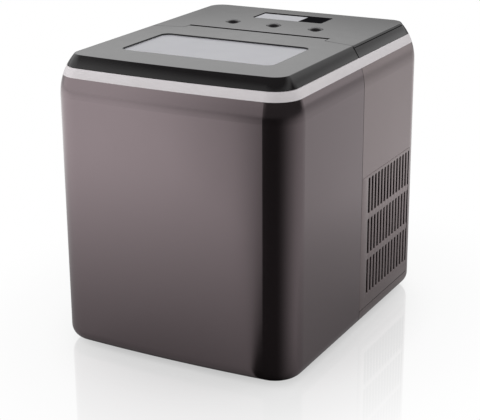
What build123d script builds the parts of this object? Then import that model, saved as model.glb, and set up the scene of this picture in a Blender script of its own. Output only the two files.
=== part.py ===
from build123d import *
import os
from math import asin, cos, degrees, radians, sin, sqrt

# A counter-top ice maker, in millimetres. The origin is at the middle of the footprint, on the
# surface that the machine stands on. The front faces -Y and the lid opens upwards at the front.

# Overall size and the outline seen from above
WIDTH = 285.0
DEPTH = 358.0
HEIGHT = 326.0
CORNER_R = 33.0
FRONT_BOW = 5.5

# Outer skin: bottom round, straight side, then one long shoulder arc up to the flat top
WALL = 2.2
GROUND_GAP = 3.0
BOTTOM_R = 14.0
LIP_REACH = 22.0
SHOULDER_DROP = 44.0
SHOULDER_R = 65.4
EDGE_R = 1.2
CORE_CORNER_R = 3.0
SEAM_TO_BACK = 174.5
SEAM_GAP = 0.8

# Light trim band on the shoulder, and the ledge inside it
BAND_DROP = 22.0
BAND_HEIGHT = 9.5
LEDGE_REACH = 22.0
LEDGE_DROP = 6.0
LEDGE_THICKNESS = 2.5

# Clearances
FIT_GAP = 0.3
LID_GAP = 0.7
TOUCH_GAP = 0.2
PIN_GAP = 0.03

# Vent grilles
SLOT_COUNT = 14
SLOT_PITCH = 9.15
SLOT_WIDTH = 4.6
SLOT_TO_BACK = 153.5
SLOT_ROWS = 3
SLOT_HEIGHT = 41.0
SLOT_BAR = 7.5
SLOT_LOW_Z = 37.2
GRILLE_MARGIN = 16.0
GRILLE_TOP_MARGIN = 4.3
GRILLE_LIP = 4.0
GRILLE_LIP_THICKNESS = 1.5

# Base pan, feet and base screws
PAN_THICKNESS = 3.0
PAN_INSET = 14.4
PAN_RIM_INSET = 24.0
PAN_RIM_HEIGHT = 7.0
FOOT_R = 10.0
FOOT_INSET = 42.0
SCREW_R = 1.5
SCREW_HEAD_R = 3.3
SCREW_HEAD_HEIGHT = 1.8
SCREW_INSET = 17.6

# Top frame
DECK_THICKNESS = 3.0
FRAME_WALL = 2.5
PANEL_THICKNESS = 2.0
PANEL_SHADOW = 0.7
PANEL_FLANGE = 4.0
EAR_TO_SIDE = 54.5
EAR_WIDTH = 24.0
EAR_TO_BACK = 160.0
EAR_EDGE_TO_SIDE = 11.5
EAR_EDGE_TO_BACK = 171.0
EAR_BEND_R = 4.0

# Lid, its hinge barrel and its window
LID_WALL = 2.5
LID_PLATE = 3.4
LID_STEP = 1.2
LID_RELIEF = 1.2
BARREL_R = 5.2
BARREL_TO_BACK = 146.0
PIN_R = 1.5
PIN_GRIP = 14.0
WINDOW_TO_SIDE = 51.5
WINDOW_TO_FRONT = 64.0
WINDOW_TO_BACK = 199.0
WINDOW_CORNER = 10.0
WINDOW_LEDGE = 4.0
PANE_THICKNESS = 1.0
PANE_RECESS = 1.7
LINER_THICKNESS = 1.6
LINER_INSET = 13.5
LINER_TO_BACK = 175.0
SEAL_THICKNESS = 1.4
SEAL_WIDTH = 5.0
SEAL_OFFSET = 2.0

# Controls on the rear of the top
BUTTON_R = 8.5
BUTTON_GAP = 0.4
BUTTON_FLANGE_R = 10.5
BUTTON_FLANGE = 1.2
BUTTON_STEM_R = 2.5
BUTTON_DOME = 2.6
BUTTON_TRAVEL = 1.2
BUTTON_TO_BACK = 108.0
BUTTON_SPACING = 53.0
DISPLAY_WIDTH = 89.0
DISPLAY_DEPTH = 34.0
DISPLAY_TO_BACK = 58.0
DISPLAY_CORNER = 2.0
LENS_LEDGE = 1.6
LENS_THICKNESS = 0.7
LENS_RECESS = 0.8
BOARD_THICKNESS = 1.6
BOARD_POST = 2.6
SWITCH_SIZE = 6.0
SWITCH_HEIGHT = 2.4
BOARD_POST_X = 70.0
BOARD_INSET = 4.0
BOARD_REACH = 121.0
BOARD_TO_BACK = 33.0

# Inner tank, its insulation and the basket
TANK_TO_SIDE = 42.5
TANK_TO_FRONT = 35.0
TANK_TO_BACK = 187.0
TANK_FLOOR_Z = 60.0
TANK_WALL = 2.5
TANK_CORNER = 14.0
TANK_FLANGE = 8.0
FOAM_WALL = 11.0
FOAM_FLOOR = 14.0
FOAM_TOP_GAP = 1.0
BASKET_SIDE_GAP = 8.0
BASKET_FRONT_GAP = 5.0
BASKET_TRAY_REACH = 30.0
BASKET_CHUTE_GAP = 6.0
BASKET_HEIGHT = 85.0
BASKET_WALL = 2.0
BASKET_CORNER = 9.0
BASKET_SLOTS = 11
BASKET_SLOT_WIDTH = 5.0
RAIL_REACH = 15.0
RAIL_HEIGHT = 5.0
BASKET_RIM = 3.0
BASKET_SLOT_MARGIN = 14.0

# Ice making: evaporator fingers in a tilting half-round tray
TRAY_TO_BACK = 215.0
TRAY_DROP = 76.0
TRAY_R = 24.0
TRAY_WALL = 1.6
TRAY_SIDE_GAP = 22.0
AXLE_R = 3.0
AXLE_GAP = 0.08
HUB_R = 7.0
FINGER_COUNT = 5
FINGER_PITCH = 24.0
FINGER_R = 4.5
FINGER_ROW_GAP = 14.0
FINGER_TIP_DROP = 12.0
EVAP_RISE = 28.0
EVAP_TUBE_R = 5.0
EVAP_BRACKET = 3.5
EVAP_BRACKET_X = 40.0
EVAP_BEND_R = 6.5
EVAP_END_GAP = 12.0
EVAP_OUT_INSET = 20.0
EVAP_IN_INSET = 8.0
EVAP_DROP = 20.0
CHUTE_FRONT_REACH = 25.5
CHUTE_BACK_REACH = 13.0
CHUTE_FRONT_DROP = 44.0
CHUTE_BACK_DROP = 32.0
CHUTE_THICKNESS = 1.8
CHUTE_SLOTS = 12
CHUTE_SLOT_WIDTH = 5.0
MOTOR_X = 27.0
MOTOR_Y = 34.0
MOTOR_Z = 40.0
SENSOR_SIZE = 14.0
SENSOR_DEPTH = 4.0
SENSOR_FRONT_GAP = 44.0
SENSOR_DROP = 64.0

# Cooling machinery behind the bulkhead
BULKHEAD_TO_BACK = 171.0
BULKHEAD_THICKNESS = 1.5
BULKHEAD_TO_SIDE = 28.5
BULKHEAD_DROP = 20.0
COMP_TO_SIDE = 80.5
COMP_TO_BACK = 81.0
COMP_R = 50.0
COMP_BODY_HEIGHT = 112.0
COMP_DOME_R = 20.0
COMP_PLATE = 2.5
COMP_LUG = 44.0
MOUNT_HEIGHT = 14.0
MOUNT_R = 10.0
MOUNT_WAIST_R = 7.5
BOLT_R = 3.0
BOLT_HEAD_R = 5.5
BOLT_HEAD_HEIGHT = 4.0
COND_TO_SIDE = 30.5
COND_THICKNESS = 22.0
COND_REACH = 151.0
COND_TO_BACK = 31.0
COND_LOW_Z = 30.0
COND_HIGH_Z = 184.0
COND_FINS = 25
FIN_THICKNESS = 0.8
COND_TUBES = 6
COND_TUBE_R = 3.5
COND_PLATE = 1.5
COND_LEG_OFFSET = 7.0
COND_LEG_WIDTH = 8.0
COND_OUT_OFFSET = 8.0
COND_RISE = 24.0
LINE_BEND_R = 7.0
LINE_TO_BACK = 159.5
FAN_R = 56.0
FAN_TIP_GAP = 3.0
FAN_BLADES = 7
FAN_DEPTH = 18.0
FAN_HUB_R = 17.0
FAN_PLATE = 2.0
BLADE_PITCH = 55.0
BLADE_CHORD = 21.0
BLADE_THICKNESS = 1.6
DUCT_WALL = 2.0
DUCT_DEPTH = 32.0
FAN_MOTOR_R = 21.0
FAN_MOTOR_LENGTH = 28.0
FAN_SHAFT_R = 2.5
FAN_SHAFT_GAP = 0.06
ARM_WIDTH = 7.0
ARM_DEPTH = 4.0
DRIER_R = 9.0
DRIER_LENGTH = 84.0
DRIER_OFFSET = 72.0
DRIER_Z = 70.0
LINE_R = 3.2
CAPILLARY_R = 1.6
CAPILLARY_RISE = 46.0
LONG_BEND_R = 12.0
DISCHARGE_OFFSET = 22.0
DISCHARGE_RISE = 29.8
SUCTION_RISE = 43.3

# Water side, electrics and drain
PUMP_TO_SIDE = 56.5
PUMP_TO_BACK = 153.0
PUMP_R = 15.0
PUMP_HEIGHT = 46.0
HOSE_R = 4.5
HOSE_BEND_R = 8.0
HOSE_SPACING = 12.0
SUMP_Z = 68.0
SPOUT_END_GAP = 18.0
SPOUT_OFFSET = 14.0
SPOUT_DROP = 30.0
POWER_BOARD_OFFSET = 64.0
POWER_BOARD_WIDTH = 60.0
POWER_BOARD_GAP = 5.0
POWER_BOARD_TOP_GAP = 25.0
POST_R = 3.0
POST_LENGTH = 6.0
GLAND_R = 7.0
GLAND_FLANGE_R = 11.0
GLAND_FLANGE = 2.0
GLAND_LENGTH = 12.0
CORD_BORE_R = 3.6
GLAND_TO_SIDE = 58.5
GLAND_Z = 34.0
DRAIN_FRONT_GAP = 74.0
DRAIN_Z = 70.0
DRAIN_PIPE_R = 7.5
DRAIN_BORE_R = 5.0
CUP_R = 16.0
CUP_DEPTH = 9.0
CUP_WALL = 1.8
PLUG_KNOB_R = 11.0
PLUG_GAP = 0.3
PLUG_STEM = 14.0
CUP_FLANGE = 4.0
CUP_FLANGE_THICKNESS = 1.5

# Places that follow from the sizes above
HALF_W = WIDTH / 2
HALF_D = DEPTH / 2
BOW_R = (HALF_W ** 2 + FRONT_BOW ** 2) / (2 * FRONT_BOW)
BOW_Y = -HALF_D + BOW_R
CORNER_X = HALF_W - CORNER_R
BACK_CORNER_Y = HALF_D - CORNER_R
FRONT_CORNER_Y = BOW_Y - sqrt((BOW_R - CORNER_R) ** 2 - CORNER_X ** 2)
BOW_ANGLE = degrees(asin(CORNER_X / (BOW_R - CORNER_R)))
SEAM_Y = HALF_D - SEAM_TO_BACK
SHOULDER_Z = HEIGHT - SHOULDER_DROP
BAND_Z = HEIGHT - BAND_DROP
SLOT_FIRST_Y = HALF_D - SLOT_TO_BACK
EAR_X = HALF_W - EAR_TO_SIDE
EAR_FRONT_Y = HALF_D - EAR_TO_BACK
EAR_EDGE_X = HALF_W - EAR_EDGE_TO_SIDE
EAR_EDGE_Y = HALF_D - EAR_EDGE_TO_BACK
BARREL_BACK_Y = HALF_D - BARREL_TO_BACK
WINDOW_X = HALF_W - WINDOW_TO_SIDE
WINDOW_FRONT_Y = WINDOW_TO_FRONT - HALF_D
WINDOW_BACK_Y = HALF_D - WINDOW_TO_BACK
LINER_BACK_Y = HALF_D - LINER_TO_BACK
BUTTON_Y = HALF_D - BUTTON_TO_BACK
DISPLAY_Y = HALF_D - DISPLAY_TO_BACK
BOARD_FRONT_Y = HALF_D - BOARD_REACH
BOARD_BACK_Y = HALF_D - BOARD_TO_BACK
TANK_X = HALF_W - TANK_TO_SIDE
TANK_FRONT_Y = TANK_TO_FRONT - HALF_D
TANK_BACK_Y = HALF_D - TANK_TO_BACK
TRAY_X = TANK_X - TRAY_SIDE_GAP
TRAY_Y = HALF_D - TRAY_TO_BACK
TRAY_Z = HEIGHT - TRAY_DROP
EVAP_X = TRAY_X - EVAP_END_GAP
EVAP_Z = TRAY_Z + EVAP_RISE
EVAP_OUT_X = EVAP_OUT_INSET - TRAY_X
EVAP_IN_X = EVAP_IN_INSET - TRAY_X
CHUTE_FRONT_Y = TRAY_Y - CHUTE_FRONT_REACH
CHUTE_BACK_Y = TRAY_Y + CHUTE_BACK_REACH
CHUTE_FRONT_Z = TRAY_Z - CHUTE_FRONT_DROP
CHUTE_BACK_Z = TRAY_Z - CHUTE_BACK_DROP
BASKET_X = TANK_X - BASKET_SIDE_GAP
BASKET_FRONT_Y = TANK_FRONT_Y + BASKET_FRONT_GAP
BASKET_BACK_Y = TRAY_Y - BASKET_TRAY_REACH
BASKET_FLOOR_Z = CHUTE_FRONT_Z - BASKET_CHUTE_GAP - BASKET_HEIGHT
SENSOR_Y = TANK_FRONT_Y + SENSOR_FRONT_GAP
SENSOR_Z = HEIGHT - SENSOR_DROP
BULKHEAD_X = HALF_W - BULKHEAD_TO_SIDE
BULKHEAD_Y = HALF_D - BULKHEAD_TO_BACK
BULKHEAD_TOP_Z = HEIGHT - BULKHEAD_DROP
COMP_X = COMP_TO_SIDE - HALF_W
COMP_Y = HALF_D - COMP_TO_BACK
COND_X = HALF_W - COND_TO_SIDE
COND_FRONT_Y = HALF_D - COND_REACH
COND_BACK_Y = HALF_D - COND_TO_BACK
COND_LEG_X = COND_X + COND_LEG_OFFSET
COND_OUT_X = COND_X - COND_OUT_OFFSET
LINE_Y = HALF_D - LINE_TO_BACK
DRIER_X = COND_X - DRIER_OFFSET
CAPILLARY_Z = DRIER_Z + DRIER_LENGTH + CAPILLARY_RISE
DISCHARGE_X = COMP_X + DISCHARGE_OFFSET
PUMP_X = PUMP_TO_SIDE - HALF_W
PUMP_Y = HALF_D - PUMP_TO_BACK
SPOUT_X = TRAY_X - SPOUT_END_GAP
SPOUT_Y = TRAY_Y + SPOUT_OFFSET
SPOUT_Z = HEIGHT - SPOUT_DROP
POWER_BOARD_X = COND_X - POWER_BOARD_OFFSET
POWER_BOARD_Z = CAPILLARY_Z + POWER_BOARD_GAP
POWER_BOARD_HEIGHT = SPOUT_Z - POWER_BOARD_TOP_GAP - POWER_BOARD_Z
GLAND_X = HALF_W - GLAND_TO_SIDE
DRAIN_Y = TANK_FRONT_Y + DRAIN_FRONT_GAP
SHELL_LOW_Z = GROUND_GAP
PAN_Z = SHELL_LOW_Z + WALL
PAN_TOP_Z = PAN_Z + PAN_THICKNESS
BAND_TOP_Z = BAND_Z + BAND_HEIGHT
LEDGE_TOP_Z = BAND_Z + LEDGE_DROP
DECK_TOP_Z = LEDGE_TOP_Z + DECK_THICKNESS
PANEL_Z = HEIGHT - PANEL_THICKNESS
BARREL_Y = BARREL_BACK_Y - BARREL_R
BARREL_Z = HEIGHT - BARREL_R
LINER_Z = DECK_TOP_Z + SEAL_THICKNESS
LID_LOW_Z = BAND_TOP_Z + LID_GAP
PANE_Z = HEIGHT - PANE_RECESS - PANE_THICKNESS
CORE_INSET = CORNER_R - CORE_CORNER_R
SWITCH_TOP_Z = DECK_TOP_Z + BOARD_POST + BOARD_THICKNESS + SWITCH_HEIGHT
TANK_OUT_X = TANK_X + TANK_WALL
TANK_LOW_Z = TANK_FLOOR_Z - TANK_WALL
FOAM_GROW = TANK_WALL + FOAM_WALL
COMP_Z = PAN_TOP_Z + MOUNT_HEIGHT
COMP_BODY_Z = COMP_Z + COMP_PLATE
COMP_TOP_Z = COMP_BODY_Z + COMP_BODY_HEIGHT
SUCTION_Z = COMP_TOP_Z + SUCTION_RISE
COND_STEP = (COND_HIGH_Z - COND_LOW_Z) / COND_TUBES
COND_TUBE_X = COND_X + COND_THICKNESS / 2
COND_OUT_Z = COND_LOW_Z + COND_STEP / 2
COND_IN_Z = COND_HIGH_Z - COND_STEP / 2
DISCHARGE_Z = COND_IN_Z + COND_RISE + DISCHARGE_RISE
PUMP_TOP_Z = PAN_TOP_Z + PUMP_HEIGHT
SUMP_X = PUMP_X + HOSE_SPACING / 2
FILL_X = PUMP_X - HOSE_SPACING / 2
FAN_X = COND_X - FAN_PLATE
FAN_Y = (COND_FRONT_Y + COND_BACK_Y) / 2
FAN_Z = (COND_LOW_Z + COND_HIGH_Z) / 2


def block(x0, x1, y0, y1, z0, z1):
    """Give a box between two corners."""
    size = Box(abs(x1 - x0), abs(y1 - y0), abs(z1 - z0))
    return Pos((x0 + x1) / 2, (y0 + y1) / 2, (z0 + z1) / 2) * size


def rod_x(radius, x0, x1, y, z):
    """Give a round bar along X."""
    return Pos((x0 + x1) / 2, y, z) * Rot(0, 90, 0) * Cylinder(radius, abs(x1 - x0))


def rod_y(radius, x, y0, y1, z):
    """Give a round bar along Y."""
    return Pos(x, (y0 + y1) / 2, z) * Rot(90, 0, 0) * Cylinder(radius, abs(y1 - y0))


def rod_z(radius, x, y, z0, z1):
    """Give a round bar along Z."""
    return Pos(x, y, (z0 + z1) / 2) * Cylinder(radius, abs(z1 - z0))


def fuse(pieces):
    """Join a list of touching solids into one."""
    first = pieces[0]
    return first.fuse(*pieces[1:]).clean() if len(pieces) > 1 else first


def rounded_plate(x0, x1, y0, y1, z0, z1, radius):
    """Give a flat plate with rounded corners, seen from above."""
    sketch = RectangleRounded(x1 - x0, y1 - y0, radius)
    return Pos((x0 + x1) / 2, (y0 + y1) / 2, z0) * extrude(sketch, amount=z1 - z0)


def shoulder_inset(z, skin=0.0):
    """Give how far the shoulder face, or a face that is one skin inside it, has come in at a height."""
    return SHOULDER_R - sqrt((SHOULDER_R - skin) ** 2 - (z - SHOULDER_Z) ** 2)


def shoulder_arc(z0, z1, skin=0.0):
    """Give the shoulder arc between two heights in section, as inset and height."""
    middle = (z0 + z1) / 2
    return ThreePointArc(
        (shoulder_inset(z0, skin), z0),
        (shoulder_inset(middle, skin), middle),
        (shoulder_inset(z1, skin), z1),
    )


def closed(first_arc, *more):
    """Make a section face from arcs in order, with straight lines between their ends."""
    edges = [first_arc]
    start = first_arc @ 0
    end = first_arc @ 1
    for item in more:
        if isinstance(item, tuple):
            edges.append(Line(end, item))
            end = Vector(*item)
        else:
            if (item @ 0 - end).length > 1e-6:
                edges.append(Line(end, item @ 0))
            edges.append(item)
            end = item @ 1
    if (end - start).length > 1e-6:
        edges.append(Line(end, start))
    return make_face(edges)


def section_plane(x, y, inward_x, inward_y):
    """Give the upright plane of a wall section: inset along its first axis, height along its second."""
    return Plane(origin=(x, y, 0), x_dir=(inward_x, inward_y, 0), z_dir=(inward_y, -inward_x, 0))


def side_run(section, side, y0, y1):
    """Run a wall section along a flat side."""
    face = section_plane(side * HALF_W, y0, -side, 0) * section
    return extrude(face, amount=y1 - y0, dir=(0, 1, 0))


def back_run(section):
    """Run a wall section along the flat back."""
    face = section_plane(-CORNER_X, HALF_D, 0, -1) * section
    return extrude(face, amount=2 * CORNER_X, dir=(1, 0, 0))


def back_corner(section, side):
    """Turn a wall section round a rear corner."""
    face = section_plane(side * HALF_W, BACK_CORNER_Y, -side, 0) * section
    axis = Axis((side * CORNER_X, BACK_CORNER_Y, 0), (0, 0, side))
    return revolve(face, axis=axis, revolution_arc=90)


def front_corner(section, side):
    """Turn a wall section round a front corner, up to the bowed front."""
    face = section_plane(side * HALF_W, FRONT_CORNER_Y, -side, 0) * section
    axis = Axis((side * CORNER_X, FRONT_CORNER_Y, 0), (0, 0, -side))
    return revolve(face, axis=axis, revolution_arc=90 - BOW_ANGLE)


def front_run(section):
    """Run a wall section along the bowed front."""
    out_x = -sin(radians(BOW_ANGLE))
    out_y = -cos(radians(BOW_ANGLE))
    face = section_plane(BOW_R * out_x, BOW_Y + BOW_R * out_y, -out_x, -out_y) * section
    return revolve(face, axis=Axis((0, BOW_Y, 0), (0, 0, 1)), revolution_arc=2 * BOW_ANGLE)


def front_wrap(section, end_y):
    """Run a wall section round the front, from one side to the other."""
    sides = [side_run(section, side, FRONT_CORNER_Y, end_y) for side in (-1, 1)]
    corners = [front_corner(section, side) for side in (-1, 1)]
    return fuse([front_run(section)] + corners + sides)


def rear_wrap(section, start_y):
    """Run a wall section round the back, from one side to the other."""
    sides = [side_run(section, side, start_y, BACK_CORNER_Y) for side in (-1, 1)]
    corners = [back_corner(section, side) for side in (-1, 1)]
    return fuse([back_run(section)] + corners + sides)


def full_wrap(section):
    """Run a wall section all the way round."""
    return fuse([front_wrap(section, SEAM_Y), rear_wrap(section, SEAM_Y)])


def polar(centre, radius, angle):
    """Give a point at an angle round a centre, in plan."""
    return (centre[0] + radius * cos(radians(angle)), centre[1] + radius * sin(radians(angle)))


def plan_arc(centre, radius, start, end):
    """Give an arc in plan between two angles."""
    middle = (start + end) / 2
    first = polar(centre, radius, start)
    last = polar(centre, radius, end)
    return ThreePointArc(first, polar(centre, radius, middle), last)


def plan_face(inset):
    """Give the outline seen from above, moved inwards by an inset."""
    corner = CORNER_R - inset
    side_angle = 90 - BOW_ANGLE
    return closed(
        plan_arc((CORNER_X, BACK_CORNER_Y), corner, 0, 90),
        plan_arc((-CORNER_X, BACK_CORNER_Y), corner, 90, 180),
        plan_arc((-CORNER_X, FRONT_CORNER_Y), corner, 180, 180 + side_angle),
        plan_arc((0, BOW_Y), BOW_R - inset, 270 - BOW_ANGLE, 270 + BOW_ANGLE),
        plan_arc((CORNER_X, FRONT_CORNER_Y), corner, 270 + BOW_ANGLE, 360),
    )


def plan_plate(inset, z0, z1):
    """Give a plate that follows the outline."""
    return Pos(0, 0, z0) * extrude(plan_face(inset), amount=z1 - z0)


def skin_section():
    """Give the section of the outer skin: bottom lip, bottom round, side and lower shoulder."""
    round_z = SHELL_LOW_Z + BOTTOM_R
    inner_r = BOTTOM_R - WALL
    diagonal = sqrt(0.5)
    outer_round = ThreePointArc(
        (BOTTOM_R, SHELL_LOW_Z),
        (BOTTOM_R - BOTTOM_R * diagonal, round_z - BOTTOM_R * diagonal),
        (0, round_z),
    )
    inner_round = ThreePointArc(
        (WALL, round_z),
        (BOTTOM_R - inner_r * diagonal, round_z - inner_r * diagonal),
        (BOTTOM_R, SHELL_LOW_Z + WALL),
    )
    return closed(
        outer_round,
        shoulder_arc(SHOULDER_Z, BAND_Z),
        shoulder_arc(BAND_Z, SHOULDER_Z, WALL),
        inner_round,
        (LIP_REACH, SHELL_LOW_Z + WALL),
        (LIP_REACH, SHELL_LOW_Z),
    )


def screw_places():
    """List where the base screws go, all round the bottom lip."""
    side_x = HALF_W - SCREW_INSET
    back_y = HALF_D - SCREW_INSET
    front_y = BOW_Y - sqrt((BOW_R - SCREW_INSET) ** 2 - (CORNER_X / 2) ** 2)
    places = []
    for side in (-1, 1):
        places.append((side * side_x, BACK_CORNER_Y / 2))
        places.append((side * side_x, FRONT_CORNER_Y / 2))
        places.append((side * CORNER_X / 2, back_y))
        places.append((side * CORNER_X / 2, front_y))
    return places


def screw_holes(z0, z1):
    """Give the clearance holes for the base screws."""
    return [rod_z(SCREW_R + FIT_GAP, x, y, z0, z1) for x, y in screw_places()]


def base_screws():
    """Give the screws that hold the shells to the base pan from below."""
    screws = []
    for x, y in screw_places():
        head = rod_z(SCREW_HEAD_R, x, y, SHELL_LOW_Z - SCREW_HEAD_HEIGHT, SHELL_LOW_Z)
        shank = rod_z(SCREW_R, x, y, SHELL_LOW_Z, PAN_TOP_Z)
        screws.append(fuse([head, shank]))
    return Compound(children=screws)


def front_shell():
    """Give the painted wrap of the front and the front half of both sides."""
    shell = front_wrap(skin_section(), SEAM_Y - SEAM_GAP / 2)
    drain_hole = rod_x(CUP_R + FIT_GAP, -HALF_W - WALL, -HALF_W + 2 * WALL, DRAIN_Y, DRAIN_Z)
    return shell.cut(drain_hole, *screw_holes(0, PAN_Z))


def grille_limits():
    """Give the grille panel's lowest and highest Y and Z."""
    slots_high = SLOT_LOW_Z + SLOT_ROWS * SLOT_HEIGHT + (SLOT_ROWS - 1) * SLOT_BAR
    front = SEAM_Y + SEAM_GAP / 2
    return front, BACK_CORNER_Y, SLOT_LOW_Z - GRILLE_MARGIN, slots_high + GRILLE_TOP_MARGIN


def rear_cover():
    """Give the cover of the back and the rear half of both sides, open where the grilles sit."""
    front, back, low, high = grille_limits()
    shell = rear_wrap(skin_section(), front)
    windows = []
    for side in (-1, 1):
        outer_x = side * (HALF_W + WALL)
        inner_x = side * (HALF_W - 2 * WALL)
        windows.append(block(outer_x, inner_x, front - 1, back, low, high))
    gland_hole = rod_y(GLAND_R + FIT_GAP, GLAND_X, HALF_D - 2 * WALL, HALF_D + WALL, GLAND_Z)
    return shell.cut(gland_hole, *windows, *screw_holes(0, PAN_Z))


def grille(side):
    """Give one slotted vent panel with the lip that holds it behind the rear cover."""
    front, back, low, high = grille_limits()
    y0 = front
    y1 = back - FIT_GAP
    z0 = low + FIT_GAP
    z1 = high - FIT_GAP
    panel = Pos((y0 + y1) / 2, (z0 + z1) / 2) * Rectangle(y1 - y0, z1 - z0)
    lip = Pos((y0 + y1) / 2, (z0 + z1) / 2) * Rectangle(y1 - y0, z1 - z0 + 2 * GRILLE_LIP)
    slots = []
    for row in range(SLOT_ROWS):
        z = SLOT_LOW_Z + SLOT_HEIGHT / 2 + row * (SLOT_HEIGHT + SLOT_BAR)
        for column in range(SLOT_COUNT):
            y = SLOT_FIRST_Y + column * SLOT_PITCH
            slots.append(Pos(y, z) * RectangleRounded(SLOT_WIDTH, SLOT_HEIGHT, SLOT_WIDTH / 4))
    panel = panel - slots
    lip = lip - slots
    inner_x = HALF_W - WALL
    skin = extrude(Plane.YZ.offset(inner_x) * panel, amount=WALL)
    flange = extrude(Plane.YZ.offset(inner_x - GRILLE_LIP_THICKNESS) * lip, amount=GRILLE_LIP_THICKNESS)
    right = fuse([skin, flange])
    return right if side > 0 else mirror(right, about=Plane.YZ)


def trim_band():
    """Give the light band on the shoulder, with the ledge that carries the top frame."""
    ledge_low = LEDGE_TOP_Z - LEDGE_THICKNESS
    section = closed(
        shoulder_arc(BAND_Z, BAND_TOP_Z),
        shoulder_arc(BAND_TOP_Z, LEDGE_TOP_Z, WALL),
        (LEDGE_REACH, LEDGE_TOP_Z),
        (LEDGE_REACH, ledge_low),
        shoulder_arc(ledge_low, BAND_Z, WALL),
    )
    return full_wrap(section)


def base_pan():
    """Give the base pan with its upright rim."""
    pan = plan_plate(PAN_INSET, PAN_Z, PAN_TOP_Z)
    rim = plan_plate(PAN_RIM_INSET, PAN_TOP_Z, PAN_TOP_Z + PAN_RIM_HEIGHT)
    rim = rim - plan_plate(PAN_RIM_INSET + WALL, PAN_TOP_Z, PAN_TOP_Z + PAN_RIM_HEIGHT)
    return fuse([pan, rim]).cut(*screw_holes(0, HEIGHT))


def rubber_feet():
    """Give the four feet under the base pan."""
    feet = []
    for x in (-1, 1):
        for y in (-1, 1):
            foot = rod_z(FOOT_R, x * (HALF_W - FOOT_INSET), y * (HALF_D - FOOT_INSET), 0, PAN_Z)
            feet.append(chamfer(foot.edges().group_by(Axis.Z)[0], GROUND_GAP / 4))
    return Compound(children=feet)


def cap(z0, z1, skin=0.0, edge=0.0):
    """Give the solid under the shoulder face, or one skin inside it, between two heights."""
    section = closed(shoulder_arc(z0, z1, skin), (CORE_INSET, z1), (CORE_INSET, z0))
    if edge > 0:
        rim = section.vertices().sort_by_distance((shoulder_inset(z1, skin), z1, 0))[0]
        section = fillet(rim, edge)
    return fuse([full_wrap(section), plan_plate(CORE_INSET, z0, z1)])


def lid_line(gap, tongue_y):
    """List the points of the line between lid and top frame, moved forwards by a gap."""
    right = [
        (EAR_X - gap, tongue_y),
        (EAR_X - gap, EAR_FRONT_Y - gap),
        (EAR_EDGE_X, EAR_EDGE_Y - gap),
        (WIDTH, EAR_EDGE_Y - gap),
    ]
    left = [(-x, y) for x, y in reversed(right)]
    return left + right


def front_region(gap, tongue_y, z0, z1):
    """Give the upright prism in front of the lid line."""
    points = lid_line(gap, tongue_y) + [(WIDTH, -DEPTH), (-WIDTH, -DEPTH)]
    face = make_face(Polyline(*points, close=True))
    bends = face.vertices().filter_by(lambda v: abs(v.Y - EAR_FRONT_Y + gap) < 1e-6)
    face = fillet(bends, EAR_BEND_R)
    return Pos(0, 0, z0) * extrude(face, amount=z1 - z0)


def ear_strip(gap, thickness, z0, z1):
    """Give upright walls along the two slanted ends of the lid line, at the front or the back of it."""
    walls = []
    for side in (-1, 1):
        near = [(EAR_X - gap, EAR_FRONT_Y - gap), (EAR_EDGE_X, EAR_EDGE_Y - gap), (WIDTH, EAR_EDGE_Y - gap)]
        far = [(x, y + thickness) for x, y in reversed(near)]
        face = make_face(Polyline(*[(side * x, y) for x, y in near + far], close=True))
        walls.append(Pos(0, 0, z0) * extrude(face, amount=z1 - z0))
    return walls


def hinge_bores():
    """Give the bores for the hinge pins."""
    bores = []
    for side in (-1, 1):
        x0 = side * (EAR_X - PIN_GRIP)
        x1 = side * (EAR_X + PIN_GRIP)
        bores.append(rod_x(PIN_R + PIN_GAP, x0, x1, BARREL_Y, BARREL_Z))
    return bores


def hinge_pins():
    """Give the two pins that carry the lid between the ears of the top frame."""
    pins = []
    for side in (-1, 1):
        x0 = side * (EAR_X - PIN_GRIP + FIT_GAP)
        x1 = side * (EAR_X + PIN_GRIP)
        pins.append(rod_x(PIN_R, x0, x1, BARREL_Y, BARREL_Z))
    return Compound(children=pins)


def tank_plan(grow, z0, z1):
    """Give an upright prism that follows the tank's inside, grown by a distance."""
    return rounded_plate(
        -TANK_X - grow, TANK_X + grow, TANK_FRONT_Y - grow, TANK_BACK_Y + grow, z0, z1, TANK_CORNER + grow
    )


def board_posts():
    """List where the display board's posts stand."""
    return [(x * BOARD_POST_X, y) for x in (-1, 1) for y in (BOARD_FRONT_Y + POST_R, BOARD_BACK_Y - POST_R)]


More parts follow.
